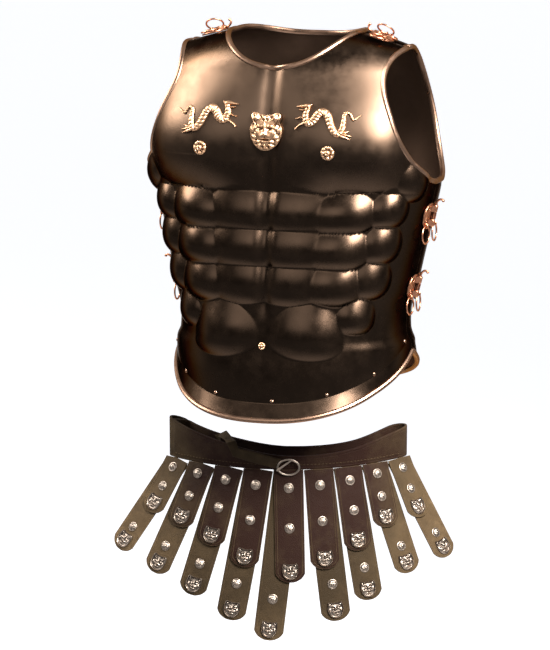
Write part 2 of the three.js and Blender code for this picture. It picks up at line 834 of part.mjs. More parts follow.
function seatedStud(radius, rise, x, level, sides) {
  const place = placeAt(x, level);
  const stud = turnedStud(radius, rise, sides);
  const facing = facingAt(place, radius);
  const turn = new THREE.Quaternion().setFromUnitVectors(new THREE.Vector3(0, 0, 1), facing);
  stud.applyQuaternion(turn);
  const start = place.point.addScaledVector(facing, settle_travel);
  stud.translate(start.x, start.y, start.z);
  return settled(toSolid(stud), facing);
}

// Moves a piece inward until it would touch the breastplate, then leaves the clearance
function settled(solid, facing) {
  let apart = 0;
  let touching = 2 * settle_travel;
  for (let k = 0; k < settle_rounds; k += 1) {
    const middle = (apart + touching) / 2;
    const moved = solid.translate(facing.clone().multiplyScalar(-middle).toArray());
    if (moved.intersect(breast_solid).volume() > near_zero) touching = middle;
    else apart = middle;
  }
  return toGeometry(solid.translate(facing.clone().multiplyScalar(seat_clearance - apart).toArray()));
}

for (const [word, side] of [['left', 1], ['right', -1]]) {
  addMesh(`rosette_${word}`,
    seatedStud(rosette_radius, rosette_rise, side * rosette_offset, rosette_level, rosette_sides), gilt);
}
addMesh('navel_stud', seatedStud(navel_stud_radius, navel_stud_rise, near_zero, navel_level, navel_sides), gilt);

// Closures. Each has a frame with y along its pin, towards the pin's head, z outward
// and x across the seam. The leaf towards the back lies at +x on the wearer's left.

function leafPlace(centre, across_sign, kind) {
  const distance = leaf_inset + leaf_reach / 2;
  if (kind === 'side') {
    const side = Math.sign(centre.x);
    const front = across_sign * side < 0;
    let p = quarter;
    const s = shareOfLevel(centre.z);
    while (Math.abs(skin(p, s).point.y) < distance) p += front ? -search_step : search_step;
    const place = { ...skin(side * p, s), p: side * p, s };
    place.point.addScaledVector(place.normal, sheet_thickness / 2);
    return place;
  }
  const side = Math.sign(centre.x);
  const front = across_sign * side < 0;
  let p = 0;
  while (ridgePoint(p).x < Math.abs(centre.x)) p += search_step;
  let s = 2;
  const turned = side * (front ? p : Math.PI - p);
  while (Math.abs(skin(turned, s).point.y - ridge_back_offset) < distance) s -= search_step;
  const place = { ...skin(turned, s), p: turned, s };
  place.point.addScaledVector(place.normal, sheet_thickness / 2);
  return place;
}

const leaf_outline_shares = [[0, 1], [0.35, 0.98], [0.72, 0.78], [0.94, 0.42], [1, 0]];
const leaf_window_share = 0.2;
const leaf_window_place_shares = [0.42, 0.58];
const side_lug_place_share = 0.12;
const barrel_root_shares = [0.98, 0.6, 0.75];

function leafPlaque(direction) {
  const half = leaf_length / 2;
  const start = -leaf_reach / 2;
  const upper = leaf_outline_shares.map(([a, b]) => [direction * (start + a * leaf_reach), b * half]);
  const lower = upper.slice(0, -1).reverse().map(([a, b]) => [a, -b]);
  const shape = new THREE.Shape([...upper, ...lower].map(([a, b]) => new THREE.Vector2(a, b)));
  const window_radius = leaf_window_share * leaf_reach;
  for (const end of [-1, 1]) {
    const hole = new THREE.Path();
    hole.absarc(direction * (start + leaf_reach * leaf_window_place_shares[0]),
      end * half * leaf_window_place_shares[1], window_radius, 0, 2 * Math.PI);
    shape.holes.push(hole);
  }
  return new THREE.ExtrudeGeometry(shape, { depth: leaf_thickness, bevelEnabled: false, curveSegments: 3 });
}

function barAlongY(outline, from, to) {
  const shape = new THREE.Shape(outline.map(([x, z]) => new THREE.Vector2(x, z)));
  const bar = new THREE.ExtrudeGeometry(shape, { depth: to - from, bevelEnabled: false });
  bar.rotateX(quarter);
  bar.translate(0, to, 0);
  return bar;
}

function rodAlongY(radius, from, to, sides) {
  const rod = new THREE.CylinderGeometry(radius, radius, to - from, sides);
  rod.translate(0, (from + to) / 2, 0);
  return rod;
}

function closureFrame(centre, axis, outward) {
  const y = axis.clone().normalize();
  const z = outward.clone().addScaledVector(y, -outward.dot(y)).normalize();
  const x = y.clone().cross(z);
  return new THREE.Matrix4().makeBasis(x, y, z).setPosition(centre);
}

function lugAndHole(hole_axis, spot) {
  const turn = new THREE.Quaternion().setFromUnitVectors(new THREE.Vector3(0, 1, 0), hole_axis);
  const lug = new THREE.CylinderGeometry(lug_radius, lug_radius, lug_thickness, bore_sides);
  const hole_radius = ring_wire_radius + lug_clearance;
  const hole = new THREE.CylinderGeometry(hole_radius, hole_radius, 2 * lug_thickness, barrel_sides);
  lug.applyQuaternion(turn);
  lug.translate(spot.x, spot.y, spot.z);
  hole.applyQuaternion(turn);
  hole.translate(spot.x, spot.y, spot.z);
  return [toSolid(lug), toSolid(hole)];
}

function wireRing(radius, wire, steps, sides) {
  const profile = [];
  for (let j = 0; j <= sides; j += 1) {
    const turn = 2 * Math.PI * (j % sides) / sides;
    profile.push(new THREE.Vector2(radius + wire * Math.cos(turn), wire * Math.sin(turn)));
  }
  return toGeometry(toSolid(new THREE.LatheGeometry(profile, steps)));
}

const shoulder_lug_share = 0.28;
const side_lug_share = 0.8;
const standing_ring_angle = 38;

function closure(name, kind, centre, axis, outward, open_back) {
  const frame = closureFrame(centre, axis, outward);
  const to_frame = frame.clone().invert();
  const side = Math.sign(centre.x);
  const third = hinge_length / 6;
  const half = hinge_length / 2;
  const bore_radius = pin_radius + pin_clearance;

  for (const [leaf, direction] of [['front', -side], ['back', side]]) {
    const place = leafPlace(centre, direction, kind);
    place.point.y += leaf === 'front' ? -plate_gap / 2 : plate_gap / 2;
    const normal = place.normal.clone().transformDirection(to_frame);
    const y = new THREE.Vector3(0, 1, 0).addScaledVector(normal, -normal.y).normalize();
    const x = y.clone().cross(normal);
    const origin = place.point.clone().applyMatrix4(to_frame);
    origin.y = 0;
    const seat = new THREE.Matrix4().makeBasis(x, y, normal).setPosition(origin);
    const reach = reachUnder(frame.clone().multiply(seat), leaf_reach / 2, leaf_length / 2, place.p, place.s);
    seat.setPosition(origin.addScaledVector(normal, reach + seat_clearance * seat_spare_share));
    const plaque = leafPlaque(direction).applyMatrix4(seat);

    const inner_x = direction * (leaf_thickness - leaf_reach / 2);
    const top = new THREE.Vector3(inner_x, 0, leaf_thickness - join_overlap / 2).applyMatrix4(seat);
    const foot = new THREE.Vector3(inner_x, 0, join_overlap / 2).applyMatrix4(seat);
    const outline = [
      [0, barrel_radius * barrel_root_shares[0]], [top.x, top.z], [foot.x, foot.z],
      [direction * barrel_radius * barrel_root_shares[1], -barrel_radius * barrel_root_shares[2]], [0, 0],
    ];
    const bands = leaf === 'front'
      ? [[-half, -third - knuckle_gap / 2], [third + knuckle_gap / 2, half]]
      : [[-third + knuckle_gap / 2, third - knuckle_gap / 2]];
    let solid = toSolid(plaque);
    for (const [from, to] of bands) {
      solid = solid.add(toSolid(rodAlongY(barrel_radius, from, to, barrel_sides)));
      solid = solid.add(toSolid(barAlongY(outline, from, to)));
    }
    solid = solid.subtract(toSolid(rodAlongY(bore_radius, -hinge_length, hinge_length, bore_sides)));
    if (leaf === 'back' && open_back) {
      const mouth = new THREE.BoxGeometry(2 * barrel_radius, hinge_length, 4 * barrel_radius);
      mouth.translate(-direction * barrel_radius, 0, 0);
      solid = solid.subtract(toSolid(mouth));
    }

    const lug_x = kind === 'side' ? direction * leaf_reach * side_lug_place_share
      : direction * leaf_reach * (shoulder_lug_share - 0.5);
    const lug_y = kind === 'side' ? -leaf_length / 2 * side_lug_share : 0;
    const lug_spot = new THREE.Vector3(lug_x, lug_y, leaf_thickness + lug_lift).applyMatrix4(seat);
    const hole_axis = kind === 'side'
      ? horizontal(x.clone().transformDirection(frame)).transformDirection(to_frame)
      : y.clone();
    const [lug, hole] = lugAndHole(hole_axis, lug_spot);
    solid = solid.add(lug).subtract(hole);
    addMesh(`${name}_${leaf}_leaf`, toGeometry(solid).applyMatrix4(frame), gilt);

    const ring_axis = hole_axis.clone().transformDirection(frame);
    const ring_spot = lug_spot.clone().applyMatrix4(frame);
    const down = ringDirection(kind, leaf, ring_axis, place.normal);
    const facing = ring_axis.clone().cross(down);
    const ring = wireRing(ring_radius, ring_wire_radius, ring_steps, ring_sides);
    ring.rotateY(Math.PI / ring_steps);
    ring.applyMatrix4(new THREE.Matrix4().makeBasis(ring_axis, facing, down));
    const ring_centre = ring_spot.clone().addScaledVector(down, ring_radius);
    ring.translate(ring_centre.x, ring_centre.y, ring_centre.z);
    addMesh(`${name}_${leaf}_ring`, facingOut(ring), gilt);
  }
  addMesh(`${name}_pin`, closurePin(half).applyMatrix4(frame), gilt);
}

function horizontal(vector) {
  return vector.setZ(0).normalize();
}

// Which way a ring lies from its lug: side rings hang, front shoulder rings lie on
// the leaf and back shoulder rings lean forward on the barrel
function ringDirection(kind, leaf, ring_axis, normal) {
  if (kind === 'side') return new THREE.Vector3(0, 0, -1);
  const level = ring_axis.clone().cross(new THREE.Vector3(0, 0, 1)).normalize();
  const forward = level.y < 0 ? level : level.negate();
  if (leaf === 'front') {
    const along = ring_axis.clone().cross(normal).normalize();
    return along.y < 0 ? along : along.negate();
  }
  const up = forward.clone().cross(ring_axis);
  if (up.z < 0) up.negate();
  return forward.clone().multiplyScalar(Math.cos(standing_ring_angle * degree))
    .addScaledVector(up, Math.sin(standing_ring_angle * degree)).normalize();
}

// The pin ends in a hook that is bent outward at the top
const pin_hook_shares = [[0, 0], [0.3, 0.12], [0.57, 0.37], [0.67, 0.73], [0.57, 1]];

function closurePin(half) {
  const top = half + knuckle_gap + pin_tail;
  const points = [new THREE.Vector3(0, -half - pin_tail, 0)];
  for (const [a, b] of pin_hook_shares) {
    points.push(new THREE.Vector3(0, top + a * pin_hook_reach, b * pin_hook_reach));
  }
  const rings = [];
  for (let k = 0; k < points.length; k += 1) {
    const before = points[Math.max(k - 1, 0)];
    const after = points[Math.min(k + 1, points.length - 1)];
    const along = after.clone().sub(before).normalize();
    const x = new THREE.Vector3(1, 0, 0);
    const z = x.clone().cross(along);
    const ring = [];
    for (let j = 0; j < bore_sides; j += 1) {
      const turn = 2 * Math.PI * j / bore_sides;
      ring.push(points[k].clone().addScaledVector(x, pin_radius * Math.cos(turn))
        .addScaledVector(z, pin_radius * Math.sin(turn)));
    }
    rings.push(ring);
  }
  return loft(rings);
}

function swingAxisPoint(level) {
  const share = (level + hem_side_drop) / (armpit_level + hem_side_drop);
  return new THREE.Vector3(-mix(swing_foot_offset, swing_top_offset, share), 0, level);
}

const swing_axis = swingAxisPoint(armpit_level).sub(swingAxisPoint(-hem_side_drop)).normalize();

for (const [place, level] of [['upper', side_upper_level], ['lower', side_lower_level]]) {
  closure(`right_${place}_closure`, 'side', swingAxisPoint(level), swing_axis,
    new THREE.Vector3(-1, 0, 0), false);
  const seam = skin(quarter, shareOfLevel(level));
  const above = skin(quarter, shareOfLevel(level + leaf_length / 2)).point;
  const below = skin(quarter, shareOfLevel(level - leaf_length / 2)).point;
  closure(`left_${place}_closure`, 'side',
    seam.point.clone().addScaledVector(seam.normal, side_standoff).setY(0),
    above.sub(below).setY(0), new THREE.Vector3(1, 0, 0), true);
}
for (const [word, side] of [['left', 1], ['right', -1]]) {
  let p = 0;
  while (ridgePoint(p).x < shoulder_closure_offset) p += search_step;
  const centre = ridgePoint(side * p);
  const inner = ridgePoint(side * (p - 8 * search_step));
  const axis = inner.sub(centre).setY(0);
  closure(`${word}_shoulder_closure`, 'shoulder',
    centre.clone().add(new THREE.Vector3(0, 0, shoulder_standoff)), axis, new THREE.Vector3(0, 0, 1), true);
}

// Belt. Its own frame has the front towards -y, and the band's lower edge at z = 0.

const belt = new THREE.Group();
belt.position.set(belt_shift * Math.cos(belt_turn * degree), belt_shift * Math.sin(belt_turn * degree), belt_level);
belt.rotation.set(belt_tilt * degree, 0, belt_turn * degree, 'ZXY');
model.add(belt);

const band_arc = Math.asin((belt_half_width - belt_corner_radius) / belt_front_radius);
const front_centre_y = belt_front_radius - belt_fold_depth;
const back_radius = belt_front_radius - 2 * belt_corner_radius;

function frontArcPoint(angle) {
  return new THREE.Vector2(belt_front_radius * Math.sin(angle),
    front_centre_y - belt_front_radius * Math.cos(angle));
}

// The back run follows the front one and bows away from it in the middle
function backArcPoint(angle) {
  const bow = belt_bow * Math.pow(Math.cos(angle / band_arc * quarter), 2);
  return new THREE.Vector2(back_radius * Math.sin(angle), front_centre_y - back_radius * Math.cos(angle) + bow);
}

// Half way through the leather, round the whole loop
function bandLine() {
  const points = [];
  for (let k = 0; k <= band_steps; k += 1) points.push(frontArcPoint(mix(-band_arc, band_arc, k / band_steps)));
  for (const side of [1, -1]) {
    const angle = side * band_arc;
    const centre = new THREE.Vector2((belt_front_radius - belt_corner_radius) * Math.sin(angle),
      front_centre_y - (belt_front_radius - belt_corner_radius) * Math.cos(angle));
    for (let k = 1; k < fold_steps; k += 1) {
      const turn = -quarter + angle + side * Math.PI * k / fold_steps;
      points.push(new THREE.Vector2(centre.x + belt_corner_radius * Math.cos(turn),
        centre.y + belt_corner_radius * Math.sin(turn)));
    }
    if (side === 1) {
      for (let k = 0; k <= band_steps; k += 1) {
        points.push(backArcPoint(mix(band_arc, -band_arc, k / band_steps)));
      }
    }
  }
  return points;
}

const band_height_shares = [
  [-1, 1], [-0.75, 0.62], [-0.45, 0.3], [-0.1, 0.02], [0.2, 0], [0.5, 0.2], [0.75, 0.62], [1, 1],
];

function bandHeight(x) {
  const share = x / belt_half_width;
  const end = x < 0 ? band_end_height : band_right_height;
  return mix(band_middle_height, end, tableValue(band_height_shares, share));
}

function band() {
  const points = bandLine();
  const rings = points.map((point, k) => {
    const before = points[(k + points.length - 1) % points.length];
    const after = points[(k + 1) % points.length];
    const along = after.clone().sub(before).normalize();
    const out = new THREE.Vector2(along.y, -along.x);
    const a = point.clone().addScaledVector(out, band_thickness / 2);
    const b = point.clone().addScaledVector(out, -band_thickness / 2);
    const height = bandHeight(point.x);
    return [
      new THREE.Vector3(a.x, a.y, 0), new THREE.Vector3(a.x, a.y, height),
      new THREE.Vector3(b.x, b.y, height), new THREE.Vector3(b.x, b.y, 0),
    ];
  });
  return loft(rings, true);
}

addMesh('belt_band', band(), leather, belt);

// Fastening strap: from the inside of the back run, over the front edge, down to the buckle
const fastening_way_shares = [1, 0.96, 0.87, 0.83, 0.75, 0.5, 0.27, 0.12];
const fastening_rest_shares = [1.35, 4, 1.4, 2.6, 1.5];
const fastening_rise_share = 0.5;
const fastening_foot_share = 1.15;

function fasteningStrap() {
  const rest = (band_thickness + fastening_thickness) / 2 + seat_clearance;
  const lift = fastening_width / 2;
  const xs = fastening_way_shares.map((share) => -share * fastening_anchor);
  const slope = (bandHeight(xs[3]) - bandHeight(xs[2])) / (xs[3] - xs[2]);
  const crest = (x) => bandHeight(x) + rest * fastening_rest_shares[2] + lift * Math.abs(slope);
  const level = (x) => mix(lift * fastening_foot_share, bandHeight(xs[4]) - lift, (x - xs[7]) / (xs[4] - xs[7]));
  const front = (x, away) => {
    const angle = Math.asin(x / belt_front_radius);
    const q = frontArcPoint(angle);
    return new THREE.Vector2(q.x + away * Math.sin(angle), q.y - away * Math.cos(angle));
  };
  const back_angle = Math.asin(xs[0] / back_radius);
  const back_normal = [Math.sin(back_angle), -Math.cos(back_angle), 0];
  const back = backArcPoint(back_angle);
  const anchor = new THREE.Vector3(back.x, back.y, bandHeight(xs[0]) - lift);
  anchor.addScaledVector(new THREE.Vector3(...back_normal), rest * fastening_rest_shares[0]);
  const stations = [
    { at: anchor, normal: back_normal },
    {
      at: new THREE.Vector3(xs[1], back.y - rest * fastening_rest_shares[1],
        bandHeight(xs[1]) + lift * fastening_rise_share),
      normal: [-0.2, -0.7, 1],
    },
    { at: new THREE.Vector3(xs[2], front(xs[2], -rest).y, crest(xs[2])), normal: [-slope, 0, 1] },
    {
      at: new THREE.Vector3(xs[3], front(xs[3], rest * fastening_rest_shares[3]).y, crest(xs[3])),
      normal: [-slope, -0.4, 1],
    },
  ];
  for (const x of xs.slice(4)) {
    const q = front(x, x === xs[4] ? rest * fastening_rest_shares[4] : rest);
    const angle = Math.asin(x / belt_front_radius);
    stations.push({ at: new THREE.Vector3(q.x, q.y, level(x)), normal: [Math.sin(angle), -Math.cos(angle), 0] });
  }
  return loft(stations.map((station, k) => {
    const before = stations[Math.max(k - 1, 0)].at;
    const after = stations[Math.min(k + 1, stations.length - 1)].at;
    const along = after.clone().sub(before).normalize();
    const normal = new THREE.Vector3(...station.normal);
    normal.addScaledVector(along, -normal.dot(along)).normalize();
    const across = along.clone().cross(normal);
    const corner = (a, b) => station.at.clone().addScaledVector(across, a * fastening_width / 2)
      .addScaledVector(normal, b * fastening_thickness / 2);
    return [corner(-1, -1), corner(1, -1), corner(1, 1), corner(-1, 1)];
  }));
}

addMesh('fastening_strap', fasteningStrap(), tan_leather, belt);

// Buckle ring and prong in front of the strap's lower end
const buckle_base_y = frontArcPoint(0).y - band_thickness / 2 - fastening_thickness - seat_clearance;
const buckle_centre = new THREE.Vector3(0, buckle_base_y - buckle_wire_radius - seat_clearance / 2,
  band_middle_height / 4);

function buckleRing() {
  const ring = wireRing(buckle_half_width, buckle_wire_radius, buckle_steps, ring_sides);
  ring.scale(1, 1, buckle_half_height / buckle_half_width);
  ring.translate(buckle_centre.x, buckle_centre.y, buckle_centre.z);
  return ring;
}

addMesh('buckle_ring', facingOut(buckleRing()), steel, belt);

function prong() {
  const slope = buckle_half_height / buckle_half_width;
  const y = buckle_centre.y - 2 * buckle_wire_radius - seat_clearance;
  const bar = rodAlongY(buckle_wire_radius, -prong_length / 2, prong_length / 2, barrel_sides);
  bar.rotateZ(quarter);
  bar.rotateY(-Math.atan(slope));
  const start = buckle_centre.x - buckle_half_width - buckle_wire_radius;
  bar.translate(start + prong_length / 2 * Math.cos(Math.atan(slope)), y, buckle_centre.z + buckle_half_height / 3);
  return toGeometry(toSolid(bar));
}

addMesh('buckle_prong', prong(), steel, belt);

// Pteruges: a long strap behind and a short one in front at each of nine places
const short_length_shares = [0.54, 0.6, 0.72, 0.88, 1.0, 0.89, 0.75, 0.58, 0.56];
const long_length_shares = [0.64, 0.7, 0.78, 0.895, 1.0, 0.89, 0.785, 0.67, 0.643];
const short_fan_angles = [-11, -10, -8, -6, 1, 1, 1, -1, 2];
const long_fan_angles = [-19, -14, -11, -8, -7, 4, 3, 7, 10];
const strap_tip_shares = [[-0.5, 0.3], [-0.34, 0.1], [-0.16, 0.0], [0.16, 0.0], [0.34, 0.1], [0.5, 0.3]];
const short_stud_shares = [0.16, 0.52];
const long_stud_share = 0.24;

function strapShape(length) {
  const tip = strap_tip_shares.map(([a, b]) => new THREE.Vector2(a * strap_width, -length + b * strap_width));
  const top = [new THREE.Vector2(strap_width / 2, 0), new THREE.Vector2(-strap_width / 2, 0)];
  return new THREE.Shape([...tip, ...top]);
}

const mask_outline_shares = [[0, 0.62], [0.4, 0.66], [0.7, 0.98], [1, 0.55], [0.8, -0.35], [0.35, -0.9], [0, -1]];
const mask_level_shares = [[1, 0.4], [0.7, 0.75], [0.35, 1]];
const stud_shoulder_shares = [0.9, 0.5];
const mask_place_share = 1.25;

function strapMask(x, y) {
  const half = mask_outline_shares.map(([a, b]) => [a * mask_radius, b * mask_radius]);
  const outline = [...half, ...half.slice(1, -1).reverse().map(([a, b]) => [-a, b])];
  const levels = [[1, -join_overlap], ...mask_level_shares.map(([a, b]) => [a, b * mask_rise])];
  return loft(levels.map(([share, lift]) => outline.map(([a, b]) => (
    new THREE.Vector3(x + a * share, y + b * share, strap_thickness + lift)))));
}

function strapStud(x, y) {
  const profile = [
    new THREE.Vector2(0, -join_overlap), new THREE.Vector2(stud_radius, -join_overlap),
    new THREE.Vector2(stud_radius * stud_shoulder_shares[0], stud_rise * stud_shoulder_shares[1]),
    new THREE.Vector2(0, stud_rise),
  ];
  const stud = new THREE.LatheGeometry(profile, stud_sides);
  stud.rotateX(quarter);
  stud.translate(x, y, strap_thickness);
  return stud;
}

// Drawn with its top edge on y = 0, hanging to -y, its face towards +z
function strap(length, fan, studs, mask_from_end) {
  const body = new THREE.ExtrudeGeometry(strapShape(length), { depth: strap_thickness, bevelEnabled: false });
  let solid = toSolid(body);
  for (const share of studs) solid = solid.add(toSolid(strapStud(0, -share * length)));
  solid = solid.add(toSolid(strapMask(0, -length + mask_from_end)));
  solid = solid.rotate([0, 0, fan]);
  const cut = new THREE.BoxGeometry(4 * strap_width, strap_width, 4 * strap_width);
  cut.translate(0, strap_width / 2, 0);
  return solid.subtract(toSolid(cut));
}

function strapFrame(k, layer) {
  const middle = (short_length_shares.length - 1) / 2;
  const angle = (k - middle) * strap_pitch / belt_front_radius;
  const flare = mix(strap_flare, strap_end_flare, Math.pow(k / middle - 1, 2)) * degree;
  const q = frontArcPoint(angle);
  const out = new THREE.Vector3(Math.sin(angle), -Math.cos(angle), 0);
  const x = new THREE.Vector3(Math.cos(angle), Math.sin(angle), 0);
  const up = new THREE.Vector3(0, 0, 1);
  const y = up.clone().multiplyScalar(Math.cos(flare)).addScaledVector(out, -Math.sin(flare));
  const z = x.clone().cross(y);
  const hinge = new THREE.Vector3(q.x, q.y, -seat_clearance)
    .addScaledVector(out, band_thickness / 2);
  const front = strap_thickness * 2 + strap_gap;
  const base = hinge.clone().addScaledVector(z, -front + layer * (strap_thickness + strap_gap));
  return new THREE.Matrix4().makeBasis(x, y, z).setPosition(base);
}

for (let k = 0; k < short_length_shares.length; k += 1) {
  for (const [word, layer, length, fan, studs] of [
    ['long', 0, long_length_shares[k] * long_strap_length, long_fan_angles[k], [1 - long_stud_share]],
    ['short', 1, short_length_shares[k] * short_strap_length, short_fan_angles[k], short_stud_shares],
  ]) {
    const solid = strap(length, fan, studs, mask_radius * mask_place_share);
    addMesh(`${word}_strap_${k + 1}`, toGeometry(solid).applyMatrix4(strapFrame(k, layer)), leather, belt);
  }
}

export default model;
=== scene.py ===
"""Builds a muscled bronze cuirass and its belt of leather pteruges over their frame."""

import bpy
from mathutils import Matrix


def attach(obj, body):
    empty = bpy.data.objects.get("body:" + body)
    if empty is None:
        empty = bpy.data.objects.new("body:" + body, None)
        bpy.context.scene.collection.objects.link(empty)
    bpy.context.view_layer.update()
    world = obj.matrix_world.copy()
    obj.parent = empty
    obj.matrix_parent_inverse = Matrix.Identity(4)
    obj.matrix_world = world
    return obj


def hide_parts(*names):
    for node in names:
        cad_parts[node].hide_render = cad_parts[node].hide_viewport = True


bl_info = {
    "name": "Muscled Cuirass",
    "version": (1, 0, 0),
    "blender": (4, 5, 0),
    "location": "3D View > Sidebar > Cuirass",
    "description": "A muscled bronze cuirass with its closures, and a belt of studded leather straps",
    "category": "Object",
}

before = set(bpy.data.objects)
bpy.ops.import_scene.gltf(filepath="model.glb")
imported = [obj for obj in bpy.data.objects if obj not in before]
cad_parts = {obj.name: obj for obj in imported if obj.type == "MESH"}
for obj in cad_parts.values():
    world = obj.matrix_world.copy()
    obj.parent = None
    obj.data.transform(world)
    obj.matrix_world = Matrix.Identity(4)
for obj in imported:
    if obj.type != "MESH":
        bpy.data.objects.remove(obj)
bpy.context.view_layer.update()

import math

import bmesh
import bpy
import numpy as np
from bpy.props import FloatProperty, FloatVectorProperty, PointerProperty
from bpy.types import Operator, Panel, PropertyGroup
from mathutils import Matrix, Vector

QUARTER = math.pi / 2
DEGREE = math.pi / 180
NEAR_ZERO = 1e-6
SEARCH_ROUNDS = 40
NORMAL_STEP = 0.004
DOME_READING_ANGLE = 0.4

# The trunk: each level is a share of the height of the armpit, each width and depth
# a share of the chest's.
LEVEL_SHARES = (-1.34, -0.73, -0.36, -0.2, -0.07, 0.0, 0.16, 0.31, 0.53, 0.745, 1.0, 1.2)
HALF_WIDTH_SHARES = (0.78, 0.74, 0.765, 0.805, 0.812, 0.785, 0.788, 0.83, 0.878, 0.927, 0.985, 1.0)
FRONT_DEPTH_SHARES = (1.09, 1.06, 1.0, 0.97, 0.945, 0.94, 0.925, 0.915, 0.9, 0.875, 0.83, 0.8)
BACK_DEPTH_SHARES = (0.97, 0.93, 0.86, 0.81, 0.78, 0.77, 0.78, 0.82, 0.9, 0.965, 1.0, 1.0)
RING_FULLNESS = 0.86
DOME_FULLNESS = 0.8
LOWEST_LEVEL = -0.150

# Muscles of the front: angle, level share, half angle, half height share, rise share
FRONT_MUSCLES = (
    (9.5, 0.855, 16.5, 0.15, 0.66),
    (10, 0.615, 16.5, 0.15, 0.66),
    (10, 0.375, 16.5, 0.15, 0.62),
    (31, 0.845, 17, 0.148, 1.0),
    (31.5, 0.61, 17, 0.152, 1.0),
    (31, 0.372, 16.5, 0.15, 0.95),
    (54, 0.872, 13, 0.142, 0.98),
    (54, 0.645, 13.5, 0.15, 1.0),
    (52, 0.41, 13, 0.148, 0.92),
    (46, 0.165, 13, 0.132, 0.9),
    (67, 1.05, 13, 0.15, 0.95),
    (20, 0.07, 19, 0.2, 0.95),
)
BELLY = (12, -0.22, 24, 0.26, 0.4)
MUSCLE_EDGE_POWER = 2.1
MUSCLE_BLEND = 7
MUSCLE_LEAN = 0.2
MUSCLE_SOFTNESS = 0.05
ARMHOLE_SHOULDER_POWER = 2.5
ARMHOLE_ROUND_POWER = 2.2
NECK_BOW_POWER = 0.9
PECTORAL_ANGLE = 33
PECTORAL_HALF_ANGLE = 28
PECTORAL_LEVELS = (0.975, 1.25, 1.75)
PECTORAL_FOOT_POWER = 0.85
GROOVE_START = 0.1
GROOVE_FADE = 0.2
GROOVE_HALF_ANGLE = 2.2
SPINE_HALF_ANGLE = 6
SPINE_TOP = 1.6
SPINE_FADE = 0.5
FRONT_SIDE_FADE = 14
BACK_SIDE_FADE = 20
HEM_POWER = 0.9
SIDE_FLARE_SHARE = 0.2
SHOULDER_BLADE = (34, 1.3, 20, 0.35)
LOIN = (16, 0.35, 10, 0.45)

# How finely the sheets are divided, and the extra rows beside the foot of the armholes
FRONT_GRID = (300, 520)
BACK_GRID = (130, 140)
FLANGE_ROWS_HEIGHT = 0.024
ARMHOLE_FOOT_ROWS = (-0.0006, 0.0005, 0.0011, 0.0013, 0.0017, 0.0023, 0.0032, 0.0044, 0.006, 0.008, 0.011,
                     0.015, 0.020, 0.026)
RIVETS = 7
FIRST_RIVET_ANGLE = -75
RIVET_STEP_ANGLE = 26.5
RIVET_RISE = 0.0022

METAL_EDGE_TINT = (0.42, 0.30, 0.22, 1)
BRONZE_EDGE_TINT = (0.24, 0.18, 0.13, 1)


# Sizes and colours

